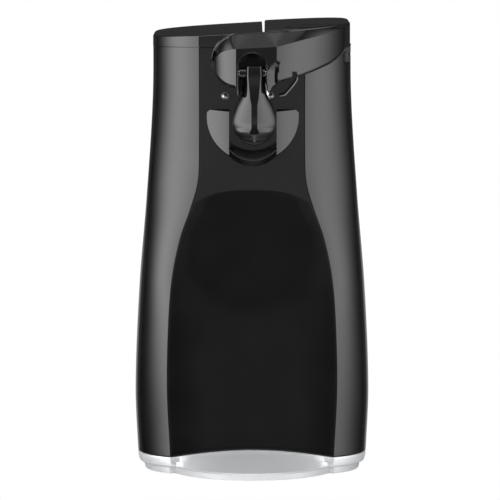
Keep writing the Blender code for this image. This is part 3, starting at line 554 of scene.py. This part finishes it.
def front_housing():
    housing = housing_shell("front_shell", rear=False)
    add_can_rest(housing)
    cut(housing, turned("drive_hole", [(-40, 7.4), (-16, 7.4)], DRIVE),
        flared("pivot_hole", -42, -30, 3.4, PIVOT, 0.3, PANEL_Y))
    for name, place in GUIDE_PINS.items():
        cut(housing, flared(name + "_hole", -42, -30, 2.1, place, 0.3, PANEL_Y))
    cut(housing, block("sharpener_notch", (48.2, 60.0), (-30.0, -4.0), (217.0, 230.0)))
    finish_piece(housing, "black_gloss", "housing", ["front_housing"])


def slot_outline(half, height, steps=8):
    """A slot with round ends, as (x, z) points round the origin."""
    radius = height / 2
    points = []
    for centre, start in ((half - radius, -90.0), (radius - half, 90.0)):
        for i in range(steps + 1):
            angle = math.radians(start + 180.0 * i / steps)
            points.append((centre + radius * math.cos(angle), radius * math.sin(angle)))
    return points


def rear_housing():
    housing = housing_shell("rear_shell", rear=True)
    cut(housing, turned("cord_inlet_hole", [(50, 7.0), (70, 7.0)], CORD_INLET))
    for i, (x, z) in enumerate(REAR_SCREWS):
        surface = rear_surface(x, z)
        seat = surface - SCREW_DEPTH
        profile = [(40, 2.2), (seat, 2.2), (seat, 3.8), (surface - 0.4, 3.8), (surface, 4.2), (70, 4.2)]
        cut(housing, turned(f"screw_hole_{i}", profile, (x, z)))
    for i in range(7):
        outline = [(x, z + 53.3 + 7.0 * i) for x, z in slot_outline(22.0, 2.6)]
        cut(housing, straight(f"vent_{i}", outline, 40, 70))
    finish_piece(housing, "black_gloss", "housing", ["rear_housing"])


def top_cap():
    seam = CAP_SEAM + 0.06
    rim = [(0.12, seam), (0.03, seam + 0.06), (0.0, seam + 0.2), (0.0, -0.9),
           (0.08, -0.5), (0.3, -0.2), (0.7, -0.04),
           (1.2, 0.0)]
    cap = slab("cap_shell", rim)
    lever_space = slab("lever_space", [(-3.0, -1.8), (-3.0, 30.0)], x_low=SLOT_X[1] + 2.93)
    skirt_space = slab("skirt_space", [(-3.0, 226.75), (-3.0, 30.0)], x_low=16.63)
    cut(skirt_space, slab("deck_keep", [(4.6, 220.0), (4.6, 35.0)], x_high=50.57))
    cut(cap, lever_space, skirt_space, block("slot_cut", SLOT_X, (-60, 70), (230.5, 250)),
        slab("left_hollow", [(2.4, 215.0), (2.4, -2.4)], x_high=5.5),
        slab("middle_hollow", [(2.8, 214.0), (2.8, 228.2)], x_low=-2.8, x_high=18.8),
        slab("right_hollow", [(7.0, 213.0), (7.0, -4.2)], x_low=2.4, x_high=50.6),
        turned("plunger_hole", [(210, 3.4), (245, 3.4)], (30.0, 8.0), axis="Z"))
    finish_piece(cap, "black_gloss", "housing", ["top_cap"])


# ---------------------------------------------------------------- base

def smooth_low(a, b, blend):
    """The lower of two values, with a smooth change over a short blend."""
    h = max(0.0, blend - abs(a - b)) / blend
    return min(a, b) - h * h * blend / 4


def base_point(x, y, tongue, rise):
    """A point of the base outline: the inset body outline, pushed out to the round tongue."""
    if y > 0:
        return x, y
    reach = TONGUE_R ** 2 - (x * 0.93) ** 2
    if reach <= 0:
        return x, y
    front = TONGUE_Y + TONGUE_R - math.sqrt(reach)
    front = smooth_low(front, y, 3.0) if front < y + 3.0 else y
    return x, y + (front + (rise if front < y else 0.0) - y) * tongue


def base_loop(z, inset, tongue, rise=0.0, front_z=None):
    """The base outline at height z; front_z is its height at the front centre."""
    outline = full_outline(BASE_SEAM)
    loop = []
    for (x0, y0), (x, y) in zip(outline, offset_loop(outline, inset)):
        px, py = base_point(x, y, tongue, rise)
        height = z
        if front_z is not None and abs(x0) < TONGUE_HALF and y0 < 0:
            height = z + (front_z - z) * (1 - (x0 / TONGUE_HALF) ** 2)
        loop.append((px, py, height))
    return loop


def base_shell():
    seam = BASE_SEAM - 0.15
    arch = seam + BASE_SEAM_ARCH
    outer = [base_loop(seam, 0.45, 0.0, front_z=arch), base_loop(seam - 0.15, 0.15, 0.0, front_z=arch - 0.15),
             base_loop(seam - 0.5, 0.0, 0.02, front_z=arch - 0.5)]
    for f in spread(0.1, 1.0, 12):
        outer.append(base_loop(seam - 0.5 - 4.4 * f, 0.9 * f * f, f, front_z=arch - 0.5 - 7.2 * f ** 0.86))
    outer += [
        base_loop(5.0, 1.15, 1.0, 0.12, front_z=4.55),
        base_loop(4.75, 1.5, 1.0, 0.35, front_z=4.2),
        base_loop(4.5, 2.6, 1.0, 0.7, front_z=3.8),
        base_loop(4.2, 3.1, 1.0, 0.85, front_z=3.5),
        base_loop(1.2, 3.7, 1.0, 1.6),
        base_loop(0.8, 4.1, 1.0, 2.0),
    ]
    inner = [
        base_loop(0.8, 6.2, 1.0, 4.2),
        base_loop(2.6, 5.6, 1.0, 3.8, front_z=2.4),
        base_loop(4.0, 3.2, 0.7, 3.0, front_z=3.4),
        base_loop(6.0, 2.7, 0.3, 2.0, front_z=6.4),
        base_loop(seam, 2.4, 0.0, front_z=arch),
    ]
    shell = make_object("base_skin", loft(outer + inner, cyclic=True))
    finish_piece(shell, "silver_plastic", "housing", ["base_shell"], sharp=40.0)


def base_plate():
    outline = [(x, y) for x, y, _ in base_loop(0.0, 7.8, 1.0, 7.9)]
    trimmed = [(x, y) for x, y, _ in base_loop(0.0, 8.2, 1.0, 8.3)]
    plate = prism("bottom_cover", [(0.9, trimmed), (1.3, outline), (2.9, outline)], "Z")
    for i, place in enumerate(FEET):
        cut(plate, turned(f"foot_seat_{i}", [(-1, 4.3), (5, 4.3)], place, axis="Z"))
    finish_piece(plate, "black_matte", "housing", ["base_plate"])


# ---------------------------------------------------------------- lever

def stepped(stations, t):
    """Straight lines through (place, value) stations."""
    for (ta, va), (tb, vb) in zip(stations, stations[1:]):
        if t <= tb:
            return va + (vb - va) * max(0.0, t - ta) / (tb - ta)
    return stations[-1][1]


def lever_front(x, z=230.0):
    """How far forward the lever's face stands; the right leg turns away further left than the body."""
    if x < LEVER_ROUND_X:
        t = 1 - math.sqrt(1 - min(1.0, (LEVER_ROUND_X - x) / 11.8))
        start = LEVER_FRONT + LEVER_LEAN * (z - LEVER_LOW_Z)
        return (1 - t) ** 2 * start + 2 * t * (1 - t) * (start + 6.5) + t * t * FLANGE_Y
    x += (LEVER_CREASE_X - stepped(LEVER_CREASE, z)) * max(0.0, 1 - max(0.0, x - LEVER_CREASE_X))
    along = (x - LEVER_CREASE_X) / (LEVER_RIGHT_X - LEVER_CREASE_X)
    tilt = LEVER_LEAN * (z - LEVER_LOW_Z) * (1 - max(0.0, along))
    if x <= LEVER_CREASE_X:
        return LEVER_FRONT + tilt
    t = 1 - math.sqrt(max(0.0, 1 - along))
    return (1 - t) ** 2 * LEVER_FRONT + 2 * t * (1 - t) * -37.7 + t * t * -8.0 + tilt


def lever_back(x):
    """Back face of the lever's front part, just clear of the panel and the right column."""
    crease, wide = 27.2, 52.45
    if x <= crease:
        return PANEL_Y - 0.8
    t = 1 - math.sqrt(max(0.0, 1 - (min(x, wide - 0.1) - crease) / (wide - crease)))
    corner_y = PANEL_Y + (wide - crease) * COLUMN_SLOPE
    return (1 - t) ** 2 * PANEL_Y + 2 * t * (1 - t) * corner_y + t * t * WIDE_Y - 0.9


def soft_front(x, z, blur):
    """The lever's face with its creases rounded over a few millimetres."""
    return sum(lever_front(x + blur * k / 4, z) for k in range(-4, 5)) / 9


def lever_bottom(x):
    if x <= -9.0:
        return 219.3 - 14.4 * math.sqrt(1 - ((x + 9.0) / 12.1) ** 2)
    return stepped(LEVER_UNDERSIDE, x)


def lever_top(x):
    plane = top_plane(x, lever_front(x, LEVER_LOW_Z) + 5.0, LEVER_PROUD)
    if x < PIVOT[0]:
        return PIVOT[1] + (plane - PIVOT[1]) / LEVER_END_R * math.sqrt(
            max(0.0, LEVER_END_R ** 2 - (x - PIVOT[0]) ** 2))
    return plane


def lever_section(x):
    """Closed profile of the lever's front part at one x, as (y, z) points."""
    back, low, high = lever_back(x), lever_bottom(x), lever_top(x)
    step = min(max(low + 0.2, SKIRT_BOTTOM), high - 0.2)
    inner = back + 3.4 if x > SKIRT_LEFT + 0.05 else back
    room = high - low
    left = min(1.0, max(0.0, (-7.6 - x) / 0.9))
    bottom = low + min(0.9 * left, 0.3 * room)
    top = high - min(0.9 * min(1.0, max(0.0, (LEVER_ROUND_X - x) / 4.0)), 0.3 * room)
    points = [(back, bottom)]
    limit = FLANGE_Y if left else back - 0.6
    roll = min(1.5, 0.25 * (top - bottom))
    for a in spread(0.0, 0.5 * math.pi, 5):
        face = min(lever_front(x, bottom + roll), limit)
        points.append((min(face + roll * (1 - math.sin(a)), limit), bottom + roll * (1 - math.cos(a))))
    height = min(stepped(LEVER_SHOULDER, x), 0.5 * (top - bottom))
    for z in spread(bottom + roll, top - height, 30)[1:]:
        points.append((min(lever_front(x, z), limit), z))
    face, wall = points[-1][0], min(0.55, 0.3 * height)
    end = min(face + 0.62 * (height - wall), limit if left else inner - 0.6)
    for s in (0.03, 0.25, 0.5, 0.75, 1.0):
        soft = min(soft_front(x, top - height, 7.0 * s) - face, 3.0)
        points.append((min(face + s * (end - face) + soft, limit if left else inner - 0.6),
                       top - height + s * (height - wall)))
    end = points[-1][0]
    points += [(end, top - 0.3 * wall), (end + 0.1, top - 0.1 * wall), (end + 0.3, top)]
    return points + [(inner, top), (inner, min(step, top - 0.1)), (back, min(step, top - 0.1))]


def lever_flange():
    """Thin plate with a bright chamfer behind the lever's rounded left end."""
    xs = [PIVOT[0] - 11.97 * math.cos(t) for t in spread(0.04, 0.5 * math.pi, 30)] + [-8.4]
    edge = [(x, lever_bottom(x)) for x in xs] + [(x, lever_top(x)) for x in reversed(xs)]
    return prism("lever_flange", [(FLANGE_Y, offset_loop(edge, 0.7)), (FLANGE_Y + 0.7, edge), (-38.82, edge)])


def lever_stations():
    """x of each section, close together where the form changes quickly."""
    end = [PIVOT[0] - 11.97 * math.cos(t) for t in spread(0.03, 0.5 * math.pi, 26)]
    rest = [-8.8, -8.5, -8.32, -8.3, -8.1, -7.6, -7.55, -4, 0, 3, 6.4, 6.8] + spread(7.2, 13.2, 24)
    return end + rest + spread(14.0, 18.4, 5) + [18.5, 18.6] + spread(19.0, 50.0, 36) + [50.6, 51.2, 51.7]


def lever_rim(inset):
    """Levels of the lever plate's rounded edge."""
    top = LEVER_PROUD
    return [(inset, top - LEVER_PLATE), (inset, top - 0.9), (inset + 0.08, top - 0.5),
            (inset + 0.3, top - 0.2), (inset + 0.7, top - 0.04), (inset + 1.2, top)]


def piercing_lever():
    loops = [[(x, y, z) for y, z in lever_section(x)] for x in lever_stations()]
    lever = make_object("lever_shell", loft(loops))
    plate = slab("lever_plate", lever_rim(LEVER_INSET), x_low=SLOT_X[1] - LEVER_INSET)
    skirt = slab("lever_skirt", [(LEVER_INSET + 0.02, SKIRT_BOTTOM), (LEVER_INSET + 0.02, LEVER_PROUD - 0.6)],
                 x_low=SKIRT_LEFT - LEVER_INSET)
    cut(skirt, slab("skirt_inside", [(LEVER_INSET + 2.2, 215.0), (LEVER_INSET + 2.2, 30.0)], x_low=-60.0))
    unite(lever, plate, skirt, lever_flange())
    cut(lever, thumb_dimple())

    def arch(grow):
        points = [(-7.2 - grow, 190.0), (10.4 + grow, 190.0), (7.2 + grow, 208.0), (7.0 + grow, 216.2)]
        points += [(0.1 + (6.9 + grow) * math.cos(a), 216.2 + (6.8 + grow) * math.sin(a))
                   for a in spread(0.0, math.pi, 40)[1:-1]]
        return points + [(-6.8 - grow, 216.2)]

    slot = [(-70.0, 0.85, LEVER_LEAN), (LEVER_FRONT - 0.05, 0.85, LEVER_LEAN),
            (LEVER_FRONT + 0.8, 0.0, LEVER_LEAN), (-45.6, 0.0, 2 * LEVER_LEAN)]
    loops = [[(x, y + lean * (z - LEVER_LOW_Z), z) for x, z in arch(grow)] for y, grow, lean in slot]
    cut(lever, make_object("arch_slot", loft(loops)))
    cut(lever, turned("cutter_space", [(-49.0, CUTTER_R + 1.2), (-45.5, CUTTER_R + 1.2)], CUTTER, 64),
        turned("cutter_screw_hole", [(-50, 1.9), (-30, 1.9)], CUTTER, 24),
        turned("pivot_bore", [(-52.6, 3.4), (-30, 3.4)], PIVOT, 32),
        turned("arm_pin_bore", [(-10.5, 1.75), (12.5, 1.75)], ARM_HINGE, 24, axis="X"),
        straight("underside_pocket",
                 [(12.0, 200.0), (26.5, 200.0), (23.0, 213.6), (16.0, 213.6), (12.0, 209.0)],
                 -53.0, -40.6))
    finish_piece(lever, "black_gloss", "lever", ["piercing_lever"], sharp=20.0)


def thumb_dimple():
    """A shallow oval bowl cutter for the thumb rest on top of the lever."""
    bm = bmesh.new()
    bmesh.ops.create_uvsphere(bm, u_segments=64, v_segments=32, radius=1.0)
    for vert in bm.verts:
        x, y = 30.0 + 14.0 * vert.co.x, -24.0 + 17.0 * vert.co.y
        vert.co = (x, y, top_plane(x, y, LEVER_PROUD + 0.9) + 2.3 * vert.co.z)
    return make_object("thumb_bowl", bm)


def arm_half_width(z):
    """Half width of the magnet arm at height z: a slim neck that swells into a round bulb."""
    return smooth_curve(((175.1, 0.0), (176.4, 4.6), (180.2, 9.0), (186.5, 11.3), (194, 9.9), (203, 6.2),
                         (212, 5.3), (216.0, 5.1)), z)


def arm_strip(z):
    """Half width of the flat strip down the middle of the arm."""
    stations = ((175.1, 0.3), (179.5, 0.6), (182.4, 2.6), (184.4, 1.55), (196.6, 1.55), (200.0, 2.2),
                (213.0, 3.35))
    return stepped(stations, z)


def magnet_arm():
    heights = [175.25, 175.5, 175.9, 176.4, 177.1, 178.0] + spread(178.8, 216.2, 60)
    loops = []
    back = -50.2
    for z in heights:
        half = max(0.8, arm_half_width(z))
        strip = min(arm_strip(z), 0.6 * half)
        depth = 1.2 + min(4.6 + 0.25 * half, 0.55 * half + 2.0)
        if z < 186.5:
            depth = max(1.9, 8.6 * math.sqrt(max(0.0, 1 - ((186.5 - z) / 11.6) ** 2)))
        knee = max(1.6, depth - (half - strip) * 0.5)
        side = []
        for t in spread(0.0, 1.0, 16):
            x = (1 - t) ** 2 * strip + (2 * t * (1 - t) + t * t) * half
            side.append((x, back - ((1 - t) ** 2 * depth + 2 * t * (1 - t) * knee + t * t * 1.2)))
        front = [(-x, y) for x, y in side[::-1]] + side
        rear = [(half * 0.92, back - 0.25), (half * 0.8, back),
                (-half * 0.8, back), (-half * 0.92, back - 0.25)]
        loops.append([(ARM_X + x, y, z) for x, y in front + rear])
    arm = make_object("arm_shell", loft(loops))
    unite(arm, turned("arm_knuckles", [(-6.6, 2.5), (-6.5, 2.6), (6.7, 2.6), (6.8, 2.5)], ARM_HINGE, 32, "X"))
    pad = [(-56.95, 211.8), (-55.0, 211.8), (-55.0, 215.5), (-56.6, 215.5)]
    unite(arm, straight("arm_pad", pad, ARM_X - 3.1, ARM_X + 3.1, "X"))
    cut(arm, turned("arm_bore", [(-10.0, 1.75), (12.5, 1.75)], ARM_HINGE, 24, axis="X"))
    finish_piece(arm, "black_gloss", "magnet_arm", ["magnet_arm"], sharp=22.0)


# ---------------------------------------------------------------- small parts

def small(obj, finish, node, sharp=30.0, bevel=0.0):
    """A fine version of one small CAD node, riding where that node rides."""
    return finish_piece(obj, finish, NODE_BODY[node], [node], sharp, bevel)


def cross_recess(name, place, y, side, size=1.9):
    """Cutter for a cross recess in a screw head whose face is at y and looks towards side."""
    x, z = place
    arms = []
    for label, (a, b) in (("a", (size, 0.45)), ("b", (0.45, size))):
        low, high = (y - 1.0, y + 0.9) if side < 0 else (y - 0.9, y + 1.0)
        arms.append(block(f"{name}_{label}", (x - a, x + a), (low, high), (z - b, z + b)))
    return arms


def lever_parts():
    small(turned("hinge_pin", [(-10.2, 1.1), (-9.9, 1.4), (11.9, 1.4), (12.2, 1.1)], ARM_HINGE, 32, "X"),
          "steel", "magnet_arm_pin")
    face = [(-49.9, 6.9), (-49.75, 7.4), (-49.4, 7.8), (-47.4, 7.8), (-47.1, 7.6), (-47.0, 7.2)]
    small(turned("round_magnet", face, (ARM_X, 186.0), 64), "magnet", "lid_magnet")
    edge = [(-47.9, CUTTER_R - 1.25), (-47.2, CUTTER_R - 0.04), (-47.15, CUTTER_R), (-46.45, CUTTER_R),
            (-46.4, CUTTER_R - 0.05)]
    small(turned("cutting_wheel", edge, CUTTER, 96, bore=2.3), "steel", "cutter_wheel")
    head = [(-48.9, 2.6), (-48.82, 3.0), (-48.6, 3.35), (-48.2, 3.6), (-48.2, 1.6), (-39.4, 1.6)]
    screw = turned("cutter_bolt", head, CUTTER, 40)
    cut(screw, *cross_recess("cutter_bolt_cross", CUTTER, -48.9, -1, 1.8))
    small(screw, "steel", "cutter_screw")
    pin = [(-52.2, 2.6), (-51.8, 3.0), (-33.2, 3.0), (-33.2, 5.2), (-31.4, 5.2), (-31.4, 2.2), (-26.0, 2.2)]
    small(turned("pivot_shaft", pin, PIVOT, 40), "steel", "lever_pivot_pin")
    for name, place in GUIDE_PINS.items():
        profile = [(-44.6, 0.35), (-44.75, 0.5), (-43.75, 1.55), (-43.4, 1.7), (-34.8, 1.7), (-34.8, 3.2),
                   (-33.0, 3.2)]
        small(turned(name + "_fine", profile, place, 32), "steel", name)


def guide_strip():
    """Bent steel strip under the lever that keeps the can rim from tipping."""
    centre = [Vector(p) for p in ((14.4, 200.9), (17.0, 201.4), (20.2, 205.0), (23.4, 209.2), (23.4, 211.0))]
    smooth = [centre[0]]
    for before, here, after in zip(centre, centre[1:], centre[2:]):
        a, b = here + (before - here).normalized() * 0.9, here + (after - here).normalized() * 0.9
        smooth += [a * (1 - s) ** 2 + here * 2 * s * (1 - s) + b * s * s for s in spread(0.0, 1.0, 5)]
    smooth.append(centre[-1])
    offset = Vector((0.32, -0.25))
    low, high = [p + offset for p in smooth], [p - offset for p in smooth]
    outline = [(p.x, p.y) for p in low + high[::-1]]
    sides = [q + offset * 0.6 for q in smooth] + [q - offset * 0.6 for q in smooth[::-1]]
    inner = [(p.x, p.y) for p in sides]
    strip = prism("guide_strip", [(-52.2, inner), (-51.95, outline), (-42.4, outline)])
    small(strip, "steel", "can_guide_plate")


def toothed(place, teeth, root, tip):
    """Outline of a knurled feed wheel with slightly rounded teeth."""
    turn = 2 * math.pi / teeth
    points = []
    for i in range(teeth):
        for share, radius in ((-0.29, root), (-0.13, tip - 0.25), (-0.09, tip),
                              (0.09, tip), (0.13, tip - 0.25),
                              (0.29, root)):
            angle = math.radians(90.0) + (i + share) * turn
            points.append((place[0] + radius * math.cos(angle), place[1] + radius * math.sin(angle)))
    return points


def drive_parts():
    outline, inner = toothed(DRIVE, 14, 5.8, 7.8), toothed(DRIVE, 14, 5.6, 7.45)
    wheel = prism("feed_wheel", [(-43.8, inner), (-43.5, outline), (-40.5, outline), (-40.2, inner)])
    cut(wheel, turned("feed_bore", [(-46, 4.35), (-38, 4.35)], DRIVE, 32))
    small(wheel, "steel", "drive_wheel")
    small(turned("feed_nut", [(-46.4, 3.3), (-46.1, 3.8), (-44.7, 3.8)], DRIVE, 6, bore=2.3), "zinc_plate",
          "drive_wheel_nut")
    bush = [(-39.6, 8.6), (-39.45, 8.9), (-39.2, 9.0), (-38.4, 9.0), (-38.4, 7.1), (-22.0, 7.1)]
    small(turned("drive_bush", bush, DRIVE, 64, bore=4.35), "bronze", "drive_bushing")


def outer_parts():
    for i, place in enumerate(FEET):
        foot = [(0.0, 5.7), (0.1, 6.1), (0.35, 6.4), (0.6, 6.5), (0.6, 4.0), (3.6, 4.0)]
        small(turned(f"foot_{i + 1}", foot, place, 40, "Z"), "rubber", f"rubber_foot_{i + 1}")
    for i, place in enumerate(REAR_SCREWS):
        seat = rear_surface(*place) - SCREW_DEPTH + 0.1
        profile = [(seat - 14.0, 1.8), (seat, 1.8), (seat, 3.4), (seat + 0.45, 3.3), (seat + 0.7, 2.9),
                   (seat + 0.8, 2.3)]
        screw = turned(f"screw_{i + 1}", profile, place, 40)
        cut(screw, *cross_recess(f"screw_{i + 1}_cross", place, seat + 0.8, 1))
        small(screw, "zinc_plate", f"housing_screw_{i + 1}")
    inside = rear_surface(*CORD_INLET) - WALL - 2 * GAP
    grommet = [(inside - 1.8, 8.0), (inside, 8.6), (inside, 6.6), (58.0, 6.6), (58.25, 6.45), (58.4, 6.0),
               (58.4, 5.4)]
    small(turned("inlet_grommet", grommet, CORD_INLET, 48, bore=3.6), "rubber", "cord_grommet")


def carried_nodes():
    """CAD nodes that stay: each takes the finish of its material slot."""
    for name, obj in frame["nodes"].items():
        slot = NODE_SLOT.get(name)
        if not obj.hide_render and slot in MATERIALS:
            obj.data.materials.clear()
            obj.data.materials.append(MATERIALS[slot])


# ---------------------------------------------------------------- studio

def emission(name):
    """White light whose strength is the mesh's own glow attribute."""
    mat = bpy.data.materials.new(name)
    mat.use_nodes = True
    tree = mat.node_tree
    tree.nodes.clear()
    out = tree.nodes.new("ShaderNodeOutputMaterial")
    light = tree.nodes.new("ShaderNodeEmission")
    glow = tree.nodes.new("ShaderNodeAttribute")
    glow.attribute_name = "glow"
    tree.links.new(glow.outputs["Fac"], light.inputs["Strength"])
    tree.links.new(light.outputs["Emission"], out.inputs["Surface"])
    return mat


def card(name, azimuth, elevation, radius, strength, centre=(0.0, 0.0, 0.118)):
    """A curved soft light round the object; strength takes the azimuth and elevation in degrees."""
    bm = bmesh.new()
    glow = bm.verts.layers.float.new("glow")
    columns, rows = 48, 32
    grid = []
    for i in range(columns + 1):
        line = []
        for j in range(rows + 1):
            turn = azimuth[0] + (azimuth[1] - azimuth[0]) * i / columns
            lift = elevation[0] + (elevation[1] - elevation[0]) * j / rows
            a, e = math.radians(turn), math.radians(lift)
            direction = Vector((-math.sin(a) * math.cos(e), -math.cos(a) * math.cos(e), math.sin(e)))
            vert = bm.verts.new(Vector(centre) + direction * radius)
            vert[glow] = strength(abs(turn), lift)
            line.append(vert)
        grid.append(line)
    for low, high in zip(grid, grid[1:]):
        for j in range(rows):
            bm.faces.new((low[j], high[j], high[j + 1], low[j + 1]))
    mesh = bpy.data.meshes.new(name)
    bm.to_mesh(mesh)
    bm.free()
    mesh.materials.append(LIGHT)
    obj = bpy.data.objects.new(name, mesh)
    bpy.context.scene.collection.objects.link(obj)
    obj.visible_camera = False
    obj.visible_shadow = False
    return obj


def ease(value, low, high):
    """0 at low, 1 at high and a smooth step between them."""
    t = min(1.0, max(0.0, (value - low) / (high - low)))
    return t * t * (3 - 2 * t)


def side_glow(peak, middle, drift, widths, turn, lift):
    """A soft side light: brightest at the azimuth middle, which drifts to the front lower down."""
    low = min(0.0, max(lift, -14.0))
    offset = turn - (middle + drift * low)
    width = widths[0] if offset < 0 else widths[1] - 0.6 * low
    rows = ((-60.0, 0.35), (-45.0, 0.45), (-18.0, 0.76), (-14.0, 0.8), (-9.7, 0.8), (-5.4, 0.98), (-3.0, 1.0))
    level = stepped(rows, lift)
    edges = ease(turn, 44.0, 47.0) * (1 - ease(lift, 36.0, 52.0))
    return peak * level * math.exp(-(offset / width) ** 2) * edges


def front_glow(turn, lift):
    rows = ((-15.0, 0.0), (-12.0, 0.16), (-8.0, 0.14), (-3.0, 0.48), (-0.5, 0.56), (3.0, 0.4),
            (7.0, 0.14), (26.0, 0.1),
            (30.0, 0.0))
    return stepped(rows, lift) * (1 - ease(turn, 24.0, 38.0))


def lights():
    card("soft_left", (44, 132), (-60, 52), 1.3, lambda a, e: side_glow(5.2, 69.0, 2.1, (28.0, 24.5), a, e))
    card("soft_right", (-44, -132), (-60, 52), 1.3,
         lambda a, e: side_glow(3.5, 63.0, 1.3, (21.0, 31.0), a, e))
    card("soft_front", (-38, 38), (-15, 30), 2.6, front_glow)
    card("soft_high", (-60, 60), (36, 60), 2.0,
         lambda a, e: 5.0 * ease(e, 38.0, 47.0) * (1 - ease(e, 50.0, 60.0)) * (1 - ease(a, 30.0, 60.0)))
    card("soft_low", (-75, 75), (-88, -34), 1.6, lambda a, e: 1.5 * (1 - ease(e, -46.0, -36.0)))
    card("soft_top", (-180, 180), (52, 89.9), 1.5, lambda a, e: 0.9 + 1.7 * ease(e, 62.0, 80.0))
    card("soft_back", (150, 210), (-18, 18), 2.2,
         lambda a, e: (ease(e, -18.0, -12.0) * (0.04 + 0.36 * (1 - ease(e, -4.0, 1.0)))
                       * (1 - ease(e, 11.0, 18.0))))


def world():
    scene = bpy.context.scene
    scene.world = bpy.data.worlds.new("studio")
    scene.world.use_nodes = True
    tree = scene.world.node_tree
    tree.nodes["Background"].inputs["Color"].default_value = (0.07, 0.07, 0.072, 1.0)
    scene.view_settings.view_transform = "Standard"


def plain_material(name, colour, glow, rough=0.9):
    mat = bpy.data.materials.new(name)
    mat.use_nodes = True
    bsdf = mat.node_tree.nodes["Principled BSDF"]
    bsdf.inputs["Base Color"].default_value = (*colour, 1.0)
    bsdf.inputs["Roughness"].default_value = rough
    bsdf.inputs["Specular IOR Level"].default_value = 0.0
    bsdf.inputs["Emission Color"].default_value = (1.0, 1.0, 1.0, 1.0)
    bsdf.inputs["Emission Strength"].default_value = glow
    return mat


def backdrop():
    """A pale floor that only lights the object from below, and a white sphere that only the camera sees."""
    bm = bmesh.new()
    bmesh.ops.create_circle(bm, cap_ends=True, segments=96, radius=5.9)
    mesh = bpy.data.meshes.new("floor")
    bm.to_mesh(mesh)
    bm.free()
    mesh.materials.append(plain_material("floor_paper", (0.5, 0.5, 0.5), 0.68))
    floor = bpy.data.objects.new("floor", mesh)
    floor.visible_camera = floor.visible_glossy = False
    bm = bmesh.new()
    bmesh.ops.create_uvsphere(bm, u_segments=48, v_segments=24, radius=6.0)
    mesh = bpy.data.meshes.new("backdrop")
    bm.to_mesh(mesh)
    bm.free()
    mesh.materials.append(plain_material("backdrop_white", (0.0, 0.0, 0.0), 1.0))
    dome = bpy.data.objects.new("backdrop", mesh)
    for name in ("diffuse", "glossy", "transmission", "volume_scatter", "shadow"):
        setattr(dome, "visible_" + name, False)
    for obj in (floor, dome):
        bpy.context.scene.collection.objects.link(obj)


def camera():
    data = bpy.data.cameras.new("camera")
    data.sensor_width = 36.0
    data.lens = 215.9
    data.clip_start, data.clip_end = 0.05, 100.0
    obj = bpy.data.objects.new("camera", data)
    obj.location = (-0.00106, -1.6, 0.268)
    aim = Vector((-0.00106, -0.018, 0.11794)) - obj.location
    obj.rotation_mode = "QUATERNION"
    obj.rotation_quaternion = aim.to_track_quat("-Z", "Y")
    bpy.context.scene.collection.objects.link(obj)
    bpy.context.scene.camera = obj


# ---------------------------------------------------------------- build

for thing in list(bpy.data.objects):
    bpy.data.objects.remove(thing, do_unlink=True)
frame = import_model()
BODIES = frame["record"]["behaviour"]["bodies"]
NODE_BODY = {node: body for body, members in BODIES.items() for node in members}
NODE_SLOT = {entry["node"]: entry["material_slot"] for entry in frame["record"]["subparts"]}
LIGHT = emission("soft_light")

camera()
world()
lights()
backdrop()
front_housing()
rear_housing()
top_cap()
base_shell()
base_plate()
piercing_lever()
magnet_arm()
lever_parts()
guide_strip()
drive_parts()
outer_parts()
carried_nodes()
